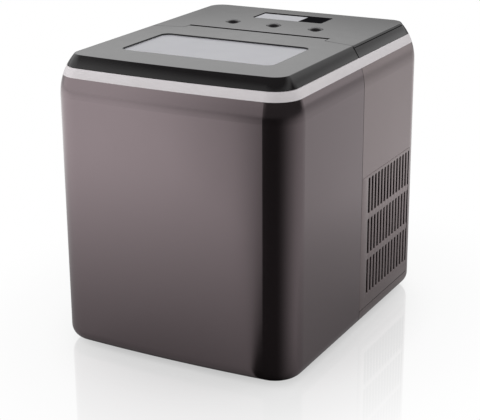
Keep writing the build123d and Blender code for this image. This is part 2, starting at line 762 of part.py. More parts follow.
def top_frame():
    """Give the top moulding: deck with the tank's mouth, sloped rear rim, and the ears of the lid hinge."""
    ledge_inset = shoulder_inset(BAND_TOP_Z, WALL) + FIT_GAP
    rim_top = PANEL_Z - PANEL_SHADOW
    flange_in = shoulder_inset(HEIGHT) + PANEL_FLANGE
    flange_low = rim_top - FRAME_WALL
    foot_top = DECK_TOP_Z + FRAME_WALL
    section = closed(
        shoulder_arc(BAND_TOP_Z, rim_top),
        (shoulder_inset(HEIGHT) + LENS_LEDGE, rim_top),
        (shoulder_inset(HEIGHT) + LENS_LEDGE, PANEL_Z),
        (flange_in, PANEL_Z),
        (flange_in, flange_low),
        shoulder_arc(flange_low, foot_top, FRAME_WALL),
        (flange_in, foot_top),
        (flange_in, LEDGE_TOP_Z),
        (ledge_inset, LEDGE_TOP_Z),
        (ledge_inset, BAND_TOP_Z),
    )
    wall_y = BARREL_BACK_Y + LID_GAP
    front = front_region(-LID_GAP / 2, wall_y, 0, 2 * HEIGHT)
    rim = rear_wrap(section, EAR_EDGE_Y + LID_GAP / 2) - front
    deck = plan_plate(ledge_inset, LEDGE_TOP_Z, DECK_TOP_Z)
    deck = deck - tank_plan(0, LEDGE_TOP_Z, DECK_TOP_Z)
    pieces = [deck, rim]
    rim_cap = cap(BAND_TOP_Z, rim_top, FRAME_WALL / 2)
    envelope = fuse([rim_cap, plan_plate(ledge_inset, DECK_TOP_Z, BAND_TOP_Z)])
    ears = [block(-EAR_X - EAR_WIDTH, EAR_X + EAR_WIDTH, 0, wall_y + FRAME_WALL, DECK_TOP_Z, rim_top)]
    for solid in ear_strip(-LID_GAP / 2, FRAME_WALL, DECK_TOP_Z, rim_top) + ears:
        pieces.append((solid & envelope) - front)
    for x, y in board_posts():
        pieces.append(rod_z(POST_R, x, y, DECK_TOP_Z, DECK_TOP_Z + BOARD_POST))
    return fuse(pieces).cut(*hinge_bores())


def control_panel():
    """Give the plate over the rear of the top, with its button holes and the seat of the display lens."""
    front = front_region(-LID_GAP / 2, BARREL_BACK_Y + LID_GAP, 0, 2 * HEIGHT)
    plate = cap(PANEL_Z, HEIGHT, edge=EDGE_R) - front
    holes = [rod_z(BUTTON_R + BUTTON_GAP, x, BUTTON_Y, PANEL_Z, HEIGHT) for x in button_places()]
    seat_z = HEIGHT - LENS_RECESS - LENS_THICKNESS
    seat = display_plate(FIT_GAP, seat_z, HEIGHT)
    return plate.cut(*holes, seat, display_plate(-LENS_LEDGE, PANEL_Z, HEIGHT))


def display_plate(grow, z0, z1):
    """Give a plate of the display's outline, grown by a distance."""
    half_x = DISPLAY_WIDTH / 2 + grow
    half_y = DISPLAY_DEPTH / 2 + grow
    front = DISPLAY_Y - half_y
    back = DISPLAY_Y + half_y
    return rounded_plate(-half_x, half_x, front, back, z0, z1, DISPLAY_CORNER + grow)


def display_lens():
    """Give the clear lens over the display."""
    top = HEIGHT - LENS_RECESS
    return display_plate(0, top - LENS_THICKNESS, top)


def button_places():
    """List the buttons' places along X."""
    return [-BUTTON_SPACING, 0.0, BUTTON_SPACING]


def button(x):
    """Give one round button with its domed cap, flange and stem."""
    dome_r = (BUTTON_R ** 2 + BUTTON_DOME ** 2) / (2 * BUTTON_DOME)
    dome_top = HEIGHT + BUTTON_DOME
    flange_top = PANEL_Z - TOUCH_GAP
    flange_low = flange_top - BUTTON_FLANGE
    cover = rod_z(BUTTON_R, x, BUTTON_Y, flange_low, dome_top)
    cover = cover & (Pos(x, BUTTON_Y, dome_top - dome_r) * Sphere(dome_r))
    flange = rod_z(BUTTON_FLANGE_R, x, BUTTON_Y, flange_low, flange_top)
    stem = rod_z(BUTTON_STEM_R, x, BUTTON_Y, SWITCH_TOP_Z + BUTTON_TRAVEL + TOUCH_GAP, flange_low)
    return fuse([cover, flange, stem])


def display_board():
    """Give the circuit board under the control panel, with its switches and display block."""
    z0 = DECK_TOP_Z + BOARD_POST
    z1 = z0 + BOARD_THICKNESS
    half_x = BOARD_POST_X + POST_R
    half = SWITCH_SIZE / 2
    pieces = [block(-half_x, half_x, BOARD_FRONT_Y, BOARD_BACK_Y, z0, z1)]
    for x in button_places():
        pieces.append(block(x - half, x + half, BUTTON_Y - half, BUTTON_Y + half, z1, SWITCH_TOP_Z))
    block_x = DISPLAY_WIDTH / 2 - BOARD_INSET
    block_y = DISPLAY_DEPTH / 2 - BOARD_INSET
    pieces.append(block(-block_x, block_x, DISPLAY_Y - block_y, DISPLAY_Y + block_y, z1, PANEL_Z))
    return fuse(pieces)


def window_plate(grow, z0, z1):
    """Give a plate of the lid window's outline, grown by a distance."""
    return rounded_plate(
        -WINDOW_X - grow,
        WINDOW_X + grow,
        WINDOW_FRONT_Y - grow,
        WINDOW_BACK_Y + grow,
        z0,
        z1,
        WINDOW_CORNER + grow,
    )


def lid():
    """Give the lid moulding with its window seat and hinge barrel."""
    gap = LID_GAP / 2
    step_z = HEIGHT - LID_STEP
    solid = cap(LID_LOW_Z, HEIGHT, edge=EDGE_R)
    upper = solid & front_region(gap, BARREL_Y, step_z, 2 * HEIGHT)
    lower = solid & front_region(gap + LID_RELIEF, BARREL_Y, 0, step_z)
    shell = fuse([upper, lower])
    hollow = cap(LID_LOW_Z - LID_WALL, HEIGHT - LID_PLATE, LID_WALL)
    hollow = hollow.cut(*ear_strip(gap + LID_RELIEF, -LID_WALL, 0, 2 * HEIGHT))
    barrel = rod_x(BARREL_R, -EAR_X + LID_GAP, EAR_X - LID_GAP, BARREL_Y, BARREL_Z)
    shell = fuse([shell - hollow, barrel])
    seat = window_plate(0, PANE_Z, HEIGHT)
    opening = window_plate(-WINDOW_LEDGE, LID_LOW_Z, HEIGHT)
    return shell.cut(seat, opening, *hinge_bores())


def lid_window():
    """Give the clear pane in the lid."""
    return window_plate(-FIT_GAP, PANE_Z, PANE_Z + PANE_THICKNESS)


def lid_liner():
    """Give the inner panel of the lid, with the well round the window."""
    z0 = LINER_Z + TOUCH_GAP
    z1 = z0 + LINER_THICKNESS
    panel = plan_plate(LINER_INSET, z0, z1)
    panel = panel & block(-WIDTH, WIDTH, -DEPTH, LINER_BACK_Y, z0, z1)
    well = window_plate(LINER_THICKNESS - WINDOW_LEDGE, z0, HEIGHT - LID_PLATE)
    return fuse([panel, well]) - window_plate(-WINDOW_LEDGE, z0, HEIGHT)


def lid_seal():
    """Give the soft seal round the tank's mouth."""
    z1 = DECK_TOP_Z + SEAL_THICKNESS
    return tank_plan(SEAL_OFFSET + SEAL_WIDTH, DECK_TOP_Z, z1) - tank_plan(SEAL_OFFSET, DECK_TOP_Z, z1)


def pipe(radius, bend_r, *points):
    """Give a round tube along straight runs with rounded bends."""
    path = FilletPolyline(*points, radius=bend_r)
    start = Plane(origin=path @ 0, z_dir=path % 0)
    return sweep(start * Circle(radius), path=path)


def rear_passages(grow):
    """Give the holes through the tank's rear wall and what lies behind it, for tubes and hoses."""
    y0 = TANK_BACK_Y - TANK_WALL
    y1 = BULKHEAD_Y + 2 * BULKHEAD_THICKNESS
    return [
        rod_y(EVAP_TUBE_R + grow, EVAP_IN_X, y0, y1, EVAP_Z),
        rod_y(EVAP_TUBE_R + grow, EVAP_OUT_X, y0, y1, EVAP_Z),
        rod_y(HOSE_R + grow, SPOUT_X, y0, y1, SPOUT_Z),
        rod_y(HOSE_R + grow, SUMP_X, y0, y1, SUMP_Z),
    ]


def inner_tank():
    """Give the ice and water tank with its flange, basket rails and axle bores."""
    body = tank_plan(TANK_WALL, TANK_LOW_Z, LEDGE_TOP_Z)
    flange = tank_plan(TANK_WALL + TANK_FLANGE, LEDGE_TOP_Z - TANK_WALL, LEDGE_TOP_Z)
    tank = fuse([body, flange]) - tank_plan(0, TANK_FLOOR_Z, LEDGE_TOP_Z)
    rail_top = BASKET_FLOOR_Z - TOUCH_GAP
    inside = tank_plan(TANK_WALL / 2, rail_top - RAIL_HEIGHT, rail_top)
    rails = []
    for side in (-1, 1):
        inner = side * (TANK_X - RAIL_REACH)
        outer = side * TANK_OUT_X
        rail = block(inner, outer, BASKET_FRONT_Y, BASKET_BACK_Y, rail_top - RAIL_HEIGHT, rail_top)
        rails.append(rail & inside)
    axle = rod_x(AXLE_R + AXLE_GAP, -2 * TANK_X, 2 * TANK_X, TRAY_Y, TRAY_Z)
    drain = rod_x(DRAIN_BORE_R, -2 * TANK_X, -TANK_X + TANK_WALL, DRAIN_Y, DRAIN_Z)
    return fuse([tank] + rails).cut(axle, drain, *rear_passages(FIT_GAP))


def foam_insulation():
    """Give the foam jacket round the tank, with a pocket for the tray motor."""
    foam_top = LEDGE_TOP_Z - TANK_WALL - FOAM_TOP_GAP
    jacket = tank_plan(FOAM_GROW, TANK_LOW_Z - FOAM_FLOOR, foam_top)
    jacket = jacket - tank_plan(TANK_WALL + TOUCH_GAP, TANK_LOW_Z, foam_top)
    half_y = MOTOR_Y / 2 + FIT_GAP
    half_z = MOTOR_Z / 2 + FIT_GAP
    pocket = block(
        -2 * TANK_X, -TANK_X, TRAY_Y - half_y, TRAY_Y + half_y, TRAY_Z - half_z, TRAY_Z + half_z
    )
    drain = rod_x(DRAIN_PIPE_R + FIT_GAP, -2 * TANK_X, -TANK_X, DRAIN_Y, DRAIN_Z)
    return jacket.cut(pocket, drain, *rear_passages(FIT_GAP))


def ice_basket():
    """Give the lift-out ice basket with its rim and drain slots."""
    top = BASKET_FLOOR_Z + BASKET_HEIGHT

    def layer(grow, z0, z1):
        return rounded_plate(
            -BASKET_X - grow, BASKET_X + grow, BASKET_FRONT_Y - grow, BASKET_BACK_Y + grow, z0, z1,
            BASKET_CORNER + grow
        )

    basket = fuse([layer(0, BASKET_FLOOR_Z, top), layer(BASKET_RIM, top - BASKET_WALL, top)])
    basket = basket - layer(-BASKET_WALL, BASKET_FLOOR_Z + BASKET_WALL, top)
    pitch = 2 * (BASKET_X - BASKET_SLOT_MARGIN) / (BASKET_SLOTS - 1)
    y0 = BASKET_FRONT_Y + BASKET_SLOT_MARGIN
    y1 = BASKET_BACK_Y - BASKET_SLOT_MARGIN
    half = BASKET_SLOT_WIDTH / 2
    slots = []
    for index in range(BASKET_SLOTS):
        x = -BASKET_X + BASKET_SLOT_MARGIN + index * pitch
        slots.append(block(x - half, x + half, y0, y1, BASKET_FLOOR_Z, BASKET_FLOOR_Z + BASKET_WALL))
    return basket.cut(*slots)


def ice_chute():
    """Give the slotted slope that leads falling ice from the tray to the basket."""
    drop = CHUTE_THICKNESS
    outline = Polyline(
        (CHUTE_FRONT_Y, CHUTE_FRONT_Z),
        (CHUTE_BACK_Y, CHUTE_BACK_Z),
        (CHUTE_BACK_Y, CHUTE_BACK_Z - drop),
        (CHUTE_FRONT_Y, CHUTE_FRONT_Z - drop),
        close=True,
    )
    slope = extrude(Plane.YZ.offset(-TANK_X) * make_face(outline), amount=2 * TANK_X)
    pitch = 2 * TANK_X / (CHUTE_SLOTS + 1)
    margin = 2 * CHUTE_SLOT_WIDTH
    half = CHUTE_SLOT_WIDTH / 2
    slots = []
    for index in range(CHUTE_SLOTS):
        x = -TANK_X + (index + 1) * pitch
        slots.append(block(x - half, x + half, CHUTE_FRONT_Y + margin, CHUTE_BACK_Y - margin, 0, HEIGHT))
    return slope.cut(*slots)


def evaporator():
    """Give the evaporator tube with its cold fingers and the bracket on the tank's rear wall."""
    front_y = TRAY_Y - FINGER_ROW_GAP / 2
    back_y = TRAY_Y + FINGER_ROW_GAP / 2
    tube = pipe(
        EVAP_TUBE_R, EVAP_BEND_R,
        (EVAP_IN_X, LINE_Y, EVAP_Z - EVAP_DROP),
        (EVAP_IN_X, LINE_Y, EVAP_Z),
        (EVAP_IN_X, front_y, EVAP_Z),
        (EVAP_X, front_y, EVAP_Z),
        (EVAP_X, back_y, EVAP_Z),
        (EVAP_OUT_X, back_y, EVAP_Z),
        (EVAP_OUT_X, LINE_Y, EVAP_Z),
        (EVAP_OUT_X, LINE_Y, EVAP_Z - EVAP_DROP),
    )
    plate_z = EVAP_Z + EVAP_TUBE_R - EVAP_BRACKET / 2
    plate_top = plate_z + EVAP_BRACKET
    bracket = block(-EVAP_BRACKET_X, EVAP_BRACKET_X, front_y, TANK_BACK_Y, plate_z, plate_top)
    pieces = [tube, bracket]
    tip_z = TRAY_Z - FINGER_TIP_DROP
    for row_y in (front_y, back_y):
        for index in range(FINGER_COUNT):
            x = (index - (FINGER_COUNT - 1) / 2) * FINGER_PITCH
            pieces.append(rod_z(FINGER_R, x, row_y, tip_z + FINGER_R, EVAP_Z))
            pieces.append(Pos(x, row_y, tip_z + FINGER_R) * Sphere(FINGER_R))
    return fuse(pieces)


def water_tray():
    """Give the half-round tray that tips about its own axle."""
    outer_r = TRAY_R + TRAY_WALL
    lower = block(-TRAY_X, TRAY_X, TRAY_Y - outer_r, TRAY_Y + outer_r, TRAY_Z - outer_r, TRAY_Z)
    trough = rod_x(outer_r, -TRAY_X, TRAY_X, TRAY_Y, TRAY_Z) & lower
    trough = trough - rod_x(TRAY_R, -TRAY_X + TRAY_WALL, TRAY_X - TRAY_WALL, TRAY_Y, TRAY_Z)
    pieces = [trough]
    for side in (-1, 1):
        pieces.append(rod_x(HUB_R, side * (TRAY_X - TRAY_WALL), side * TRAY_X, TRAY_Y, TRAY_Z))
    pieces.append(rod_x(AXLE_R, TRAY_X, TANK_OUT_X, TRAY_Y, TRAY_Z))
    pieces.append(rod_x(AXLE_R, -TRAY_X, -TANK_OUT_X - MOTOR_X / 3, TRAY_Y, TRAY_Z))
    return fuse(pieces)


def tray_motor():
    """Give the gear motor that tips the tray, on the tank's left wall."""
    x0 = -TANK_OUT_X - MOTOR_X
    half_y = MOTOR_Y / 2
    half_z = MOTOR_Z / 2
    case = block(x0, -TANK_OUT_X, TRAY_Y - half_y, TRAY_Y + half_y, TRAY_Z - half_z, TRAY_Z + half_z)
    case = fillet(case.edges().filter_by(Axis.X), AXLE_R)
    return case - rod_x(AXLE_R + AXLE_GAP, -TANK_OUT_X - MOTOR_X / 3 - FIT_GAP, -TANK_OUT_X, TRAY_Y, TRAY_Z)


def ice_sensors():
    """Give the two sensor housings that look across the full basket."""
    half = SENSOR_SIZE / 2
    housings = []
    for side in (-1, 1):
        housing = block(
            side * (TANK_X - SENSOR_DEPTH), side * TANK_X,
            SENSOR_Y - half, SENSOR_Y + half, SENSOR_Z - half, SENSOR_Z + half
        )
        housings.append(housing)
    return Compound(children=housings)


def bulkhead():
    """Give the sheet wall between the tank and the cooling machinery, with the power board's posts."""
    sheet = block(
        -BULKHEAD_X, BULKHEAD_X, BULKHEAD_Y, BULKHEAD_Y + BULKHEAD_THICKNESS, PAN_TOP_Z, BULKHEAD_TOP_Z
    )
    face_y = BULKHEAD_Y + BULKHEAD_THICKNESS
    posts = [rod_y(POST_R, x, face_y, face_y + POST_LENGTH, z) for x, z in power_posts()]
    return fuse([sheet] + posts).cut(*rear_passages(FIT_GAP))


def power_posts():
    """List where the power board's posts stand, as X and Z."""
    edge = 2 * POST_R
    places = []
    for x in (POWER_BOARD_X + edge, POWER_BOARD_X + POWER_BOARD_WIDTH - edge):
        for z in (POWER_BOARD_Z + edge, POWER_BOARD_Z + POWER_BOARD_HEIGHT - edge):
            places.append((x, z))
    return places


def power_board():
    """Give the power board with its transformer, relays and terminal block."""
    y0 = BULKHEAD_Y + BULKHEAD_THICKNESS + POST_LENGTH
    y1 = y0 + BOARD_THICKNESS
    x1 = POWER_BOARD_X + POWER_BOARD_WIDTH
    z1 = POWER_BOARD_Z + POWER_BOARD_HEIGHT
    pieces = [block(POWER_BOARD_X, x1, y0, y1, POWER_BOARD_Z, z1)]
    step = POWER_BOARD_WIDTH / 4
    half = step / 2 - BOARD_THICKNESS
    for index in range(3):
        x = POWER_BOARD_X + (index + 1) * step
        relay_z = POWER_BOARD_Z + POWER_BOARD_HEIGHT / 3
        pieces.append(block(x - half, x + half, y1, y1 + 2 * half, relay_z - half, relay_z + 2 * half))
    middle = (POWER_BOARD_X + x1) / 2
    core_z = z1 - POWER_BOARD_HEIGHT / 3
    pieces.append(block(middle - step, middle + step, y1, y1 + 2 * step, core_z - half, core_z + 2 * half))
    return fuse(pieces)


def mount_places():
    """List where the compressor's mounts stand."""
    return [(COMP_X + x * COMP_LUG, COMP_Y + y * COMP_LUG) for x in (-1, 1) for y in (-1, 1)]


def compressor():
    """Give the sealed compressor on its mounting plate."""
    half = COMP_LUG + MOUNT_R
    plate = rounded_plate(
        COMP_X - half, COMP_X + half, COMP_Y - half, COMP_Y + half, COMP_Z, COMP_BODY_Z, MOUNT_R
    )
    plate = plate.cut(*[rod_z(BOLT_R + FIT_GAP, x, y, COMP_Z, COMP_BODY_Z) for x, y in mount_places()])
    can = rod_z(COMP_R, COMP_X, COMP_Y, COMP_BODY_Z, COMP_TOP_Z)
    can = fillet(can.edges().group_by(Axis.Z)[-1], COMP_DOME_R)
    seam_z = COMP_BODY_Z + COMP_BODY_HEIGHT / 2
    seam = rod_z(COMP_R + COMP_PLATE, COMP_X, COMP_Y, seam_z - COMP_PLATE, seam_z + COMP_PLATE)
    return fuse([plate, can, seam])


def compressor_mounts():
    """Give the rubber mounts under the compressor."""
    mounts = []
    for x, y in mount_places():
        mount = rod_z(MOUNT_R, x, y, PAN_TOP_Z, COMP_Z)
        waist = rod_z(MOUNT_R, x, y, PAN_TOP_Z + MOUNT_HEIGHT / 3, COMP_Z - MOUNT_HEIGHT / 3)
        waist = waist - rod_z(MOUNT_WAIST_R, x, y, PAN_TOP_Z, COMP_Z)
        mounts.append(mount - waist - rod_z(BOLT_R + FIT_GAP, x, y, PAN_TOP_Z, COMP_Z))
    return Compound(children=mounts)


def mount_bolts():
    """Give the bolts that hold the compressor down on its mounts."""
    bolts = []
    for x, y in mount_places():
        shank = rod_z(BOLT_R, x, y, PAN_TOP_Z, COMP_BODY_Z)
        head = Pos(x, y, COMP_BODY_Z) * extrude(RegularPolygon(BOLT_HEAD_R, 6), amount=BOLT_HEAD_HEIGHT)
        bolts.append(fuse([shank, head]))
    return Compound(children=bolts)


def return_bend(y, low_z, outward):
    """Give a half-circle bend that joins two condenser tubes, one step apart."""
    profile = Plane(origin=(COND_TUBE_X, y, low_z), z_dir=(0, outward, 0)) * Circle(COND_TUBE_R)
    axis = Axis((COND_TUBE_X, y, low_z + COND_STEP / 2), (outward, 0, 0))
    return revolve(profile, axis=axis, revolution_arc=180)


def condenser():
    """Give the condenser: end plates on legs, fins, tubes with return bends, and the two tube ends."""
    x1 = COND_X + COND_THICKNESS
    plate_front = COND_FRONT_Y + COND_PLATE
    plate_back = COND_BACK_Y - COND_PLATE
    pieces = []
    for y0, y1 in ((COND_FRONT_Y, plate_front), (plate_back, COND_BACK_Y)):
        pieces.append(block(COND_X, x1, y0, y1, COND_LOW_Z, COND_HIGH_Z))
        pieces.append(block(COND_LEG_X, COND_LEG_X + COND_LEG_WIDTH, y0, y1, PAN_TOP_Z, COND_LOW_Z))
    pitch = (plate_back - plate_front) / (COND_FINS + 1)
    for index in range(COND_FINS):
        y = plate_front + (index + 1) * pitch
        half_fin = FIN_THICKNESS / 2
        pieces.append(block(COND_X, x1, y - half_fin, y + half_fin, COND_LOW_Z, COND_HIGH_Z))
    for index in range(COND_TUBES):
        z = COND_OUT_Z + index * COND_STEP
        pieces.append(rod_y(COND_TUBE_R, COND_TUBE_X, COND_FRONT_Y, COND_BACK_Y, z))
        if index + 1 < COND_TUBES:
            at_back = index % 2 == 0
            pieces.append(return_bend(COND_BACK_Y if at_back else COND_FRONT_Y, z, 1 if at_back else -1))
    inlet = pipe(
        COND_TUBE_R, LINE_BEND_R,
        (COND_TUBE_X, COND_FRONT_Y, COND_IN_Z),
        (COND_TUBE_X, LINE_Y, COND_IN_Z),
        (COND_TUBE_X, LINE_Y, COND_IN_Z + COND_RISE),
    )
    outlet = pipe(
        COND_TUBE_R, LINE_BEND_R,
        (COND_TUBE_X, COND_FRONT_Y, COND_OUT_Z),
        (COND_TUBE_X, LINE_Y, COND_OUT_Z),
        (COND_OUT_X, LINE_Y, COND_OUT_Z),
    )
    return fuse(pieces + [inlet, outlet])


def fan_shroud():
    """Give the fan plate and duct on the condenser, with the arms that carry the motor."""
    plate = block(FAN_X, COND_X, COND_FRONT_Y, COND_BACK_Y, COND_LOW_Z, COND_HIGH_Z)
    bore_r = FAN_R + FAN_TIP_GAP
    duct_x = FAN_X - DUCT_DEPTH
    duct = rod_x(bore_r + DUCT_WALL, duct_x, FAN_X, FAN_Y, FAN_Z)
    body = fuse([plate, duct]) - rod_x(bore_r, duct_x, COND_X, FAN_Y, FAN_Z)
    arm_x = duct_x + ARM_DEPTH
    reach = bore_r + DUCT_WALL / 2
    half = ARM_WIDTH / 2
    arms = [
        block(duct_x, arm_x, FAN_Y - reach, FAN_Y + reach, FAN_Z - half, FAN_Z + half),
        block(duct_x, arm_x, FAN_Y - half, FAN_Y + half, FAN_Z - reach, FAN_Z + reach),
        rod_x(FAN_MOTOR_R, duct_x, arm_x, FAN_Y, FAN_Z),
    ]
    return fuse([body] + arms) - rod_x(FAN_SHAFT_R + FAN_TIP_GAP, duct_x, arm_x, FAN_Y, FAN_Z)


def fan_motor():
    """Give the fan motor behind the arms."""
    x1 = FAN_X - DUCT_DEPTH
    body = rod_x(FAN_MOTOR_R, x1 - FAN_MOTOR_LENGTH, x1, FAN_Y, FAN_Z)
    body = chamfer(body.edges().group_by(Axis.X)[0], FAN_SHAFT_R)
    return body - rod_x(FAN_SHAFT_R + FAN_SHAFT_GAP, x1 - FAN_MOTOR_LENGTH / 2, x1, FAN_Y, FAN_Z)


def fan_rotor():
    """Give the fan wheel on its shaft."""
    x1 = FAN_X - (DUCT_DEPTH - ARM_DEPTH - FAN_DEPTH) / 2
    x0 = x1 - FAN_DEPTH
    motor_x = FAN_X - DUCT_DEPTH
    hub = rod_x(FAN_HUB_R, x0, x1, FAN_Y, FAN_Z)
    shaft = rod_x(FAN_SHAFT_R, motor_x - FAN_MOTOR_LENGTH / 2 + FIT_GAP, x0, FAN_Y, FAN_Z)
    limit = rod_x(FAN_R, x0, x1, FAN_Y, FAN_Z)
    blades = []
    for index in range(FAN_BLADES):
        blade = Pos(0, 0, (FAN_HUB_R + FAN_R) / 2) * Rot(0, 0, BLADE_PITCH)
        blade = blade * Box(BLADE_THICKNESS, BLADE_CHORD, FAN_R - FAN_HUB_R + FAN_TIP_GAP)
        turn = Pos((x0 + x1) / 2, FAN_Y, FAN_Z) * Rot(index * 360 / FAN_BLADES, 0, 0)
        blades.append((turn * blade) & limit)
    return fuse([hub, shaft] + blades)


def filter_drier():
    """Give the filter drier on the liquid line."""
    body = rod_z(DRIER_R, DRIER_X, LINE_Y, DRIER_Z, DRIER_Z + DRIER_LENGTH)
    return chamfer(body.edges().filter_by(GeomType.CIRCLE), DRIER_R - COND_TUBE_R - CAPILLARY_R)


def discharge_line():
    """Give the hot line from the compressor to the condenser."""
    return pipe(
        LINE_R, LONG_BEND_R,
        (DISCHARGE_X, COMP_Y, COMP_TOP_Z),
        (DISCHARGE_X, COMP_Y, DISCHARGE_Z),
        (COND_TUBE_X, COMP_Y, DISCHARGE_Z),
        (COND_TUBE_X, LINE_Y, DISCHARGE_Z),
        (COND_TUBE_X, LINE_Y, COND_IN_Z + COND_RISE),
    )


def liquid_line():
    """Give the line from the condenser to the filter drier."""
    return pipe(
        LINE_R, LONG_BEND_R,
        (COND_OUT_X, LINE_Y, COND_OUT_Z),
        (DRIER_X, LINE_Y, COND_OUT_Z),
        (DRIER_X, LINE_Y, DRIER_Z),
    )


def capillary_tube():
    """Give the thin tube from the filter drier to the evaporator."""
    return pipe(
        CAPILLARY_R, LONG_BEND_R,
        (DRIER_X, LINE_Y, DRIER_Z + DRIER_LENGTH),
        (DRIER_X, LINE_Y, CAPILLARY_Z),
        (EVAP_OUT_X, LINE_Y, CAPILLARY_Z),
        (EVAP_OUT_X, LINE_Y, EVAP_Z - EVAP_DROP),
    )


def suction_line():
    """Give the cold line from the evaporator back to the compressor."""
    return pipe(
        LINE_R, LONG_BEND_R,
        (EVAP_IN_X, LINE_Y, EVAP_Z - EVAP_DROP),
        (EVAP_IN_X, LINE_Y, SUCTION_Z),
        (EVAP_IN_X, COMP_Y, SUCTION_Z),
        (EVAP_IN_X, COMP_Y, COMP_TOP_Z),
    )


def water_pump():
    """Give the water pump on the base pan."""
    body = rod_z(PUMP_R, PUMP_X, PUMP_Y, PAN_TOP_Z, PUMP_TOP_Z)
    collar_z = PAN_TOP_Z + PUMP_HEIGHT / 3
    collar = rod_z(PUMP_R + WALL / 2, PUMP_X, PUMP_Y, collar_z, collar_z + WALL)
    return fuse([body, collar])


def suction_hose():
    """Give the hose from the tank's sump to the pump."""
    return pipe(
        HOSE_R, HOSE_BEND_R,
        (SUMP_X, TANK_BACK_Y, SUMP_Z),
        (SUMP_X, PUMP_Y, SUMP_Z),
        (SUMP_X, PUMP_Y, PUMP_TOP_Z),
    )


def fill_hose():
    """Give the hose from the pump to the spout over the tray."""
    return pipe(
        HOSE_R, LONG_BEND_R,
        (FILL_X, PUMP_Y, PUMP_TOP_Z),
        (FILL_X, PUMP_Y, SPOUT_Z),
        (SPOUT_X, PUMP_Y, SPOUT_Z),
        (SPOUT_X, SPOUT_Y, SPOUT_Z),
    )


def cord_gland():
    """Give the gland where a mains lead would pass through the back."""
    flange_y = HALF_D - WALL
    flange = rod_y(GLAND_FLANGE_R, GLAND_X, flange_y - GLAND_FLANGE, flange_y, GLAND_Z)
    sleeve = rod_y(GLAND_R, GLAND_X, HALF_D - GLAND_LENGTH, HALF_D, GLAND_Z)
    return fuse([flange, sleeve]) - rod_y(CORD_BORE_R, GLAND_X, HALF_D - GLAND_LENGTH, HALF_D, GLAND_Z)


def drain_port():
    """Give the recessed drain cup in the left side, with its pipe to the tank."""
    cup_x = -HALF_W + CUP_DEPTH
    flange_x = -HALF_W + WALL
    cup = rod_x(CUP_R, -HALF_W, cup_x, DRAIN_Y, DRAIN_Z)
    flange = rod_x(CUP_R + CUP_FLANGE, flange_x, flange_x + CUP_FLANGE_THICKNESS, DRAIN_Y, DRAIN_Z)
    outlet = rod_x(DRAIN_PIPE_R, cup_x, -TANK_OUT_X, DRAIN_Y, DRAIN_Z)
    hollow = rod_x(CUP_R - CUP_WALL, -HALF_W, cup_x - CUP_WALL, DRAIN_Y, DRAIN_Z)
    bore = rod_x(DRAIN_BORE_R, -HALF_W, -TANK_OUT_X, DRAIN_Y, DRAIN_Z)
    return fuse([cup, flange, outlet]).cut(hollow, bore)


def drain_plug():
    """Give the pull-out drain plug."""
    knob_x = -HALF_W + CUP_DEPTH - CUP_WALL - TOUCH_GAP
    knob = rod_x(PLUG_KNOB_R, -HALF_W, knob_x, DRAIN_Y, DRAIN_Z)
    knob = fillet(knob.edges().group_by(Axis.X)[0], EDGE_R)
    stem = rod_x(DRAIN_BORE_R - PLUG_GAP, knob_x, knob_x + PLUG_STEM, DRAIN_Y, DRAIN_Z)
    return fuse([knob, stem])


# Every piece of the machine, under its own name
def build_parts():
    """Give every piece by name."""
    left_x, middle_x, right_x = button_places()
    return {
        "base_pan": base_pan(),
        "rubber_feet": rubber_feet(),
        "base_screws": base_screws(),
        "front_shell": front_shell(),
        "rear_cover": rear_cover(),
        "right_grille": grille(1),
        "left_grille": grille(-1),
        "trim_band": trim_band(),
        "top_frame": top_frame(),
        "control_panel": control_panel(),
        "display_lens": display_lens(),
        "display_board": display_board(),
        "power_button": button(left_x),
        "select_button": button(middle_x),
        "start_button": button(right_x),
        "lid": lid(),
        "lid_window": lid_window(),
        "lid_liner": lid_liner(),
        "lid_seal": lid_seal(),
        "hinge_pins": hinge_pins(),
        "inner_tank": inner_tank(),
        "foam_insulation": foam_insulation(),
        "ice_basket": ice_basket(),
        "ice_chute": ice_chute(),
        "evaporator": evaporator(),
        "water_tray": water_tray(),
        "tray_motor": tray_motor(),
        "ice_sensors": ice_sensors(),
        "bulkhead": bulkhead(),
        "power_board": power_board(),
        "compressor": compressor(),
        "compressor_mounts": compressor_mounts(),
        "mount_bolts": mount_bolts(),
        "condenser": condenser(),
        "fan_shroud": fan_shroud(),
        "fan_motor": fan_motor(),
        "fan_rotor": fan_rotor(),
        "filter_drier": filter_drier(),
        "discharge_line": discharge_line(),
        "liquid_line": liquid_line(),
        "capillary_tube": capillary_tube(),
        "suction_line": suction_line(),
        "water_pump": water_pump(),
        "suction_hose": suction_hose(),
        "fill_hose": fill_hose(),
        "cord_gland": cord_gland(),
        "drain_port": drain_port(),
        "drain_plug": drain_plug(),
    }


os.makedirs("parts", exist_ok=True)
for name, shape in build_parts().items():
    export_step(shape, f"parts/{name}.step")
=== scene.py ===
"""Looks of a counter-top ice maker: finishes, finer pieces, light and camera round its CAD frame."""

import logging
import math
from dataclasses import dataclass, field
from enum import Enum
from typing import Optional, Sequence, Union

import bmesh
import bpy
from mathutils import Matrix, Vector


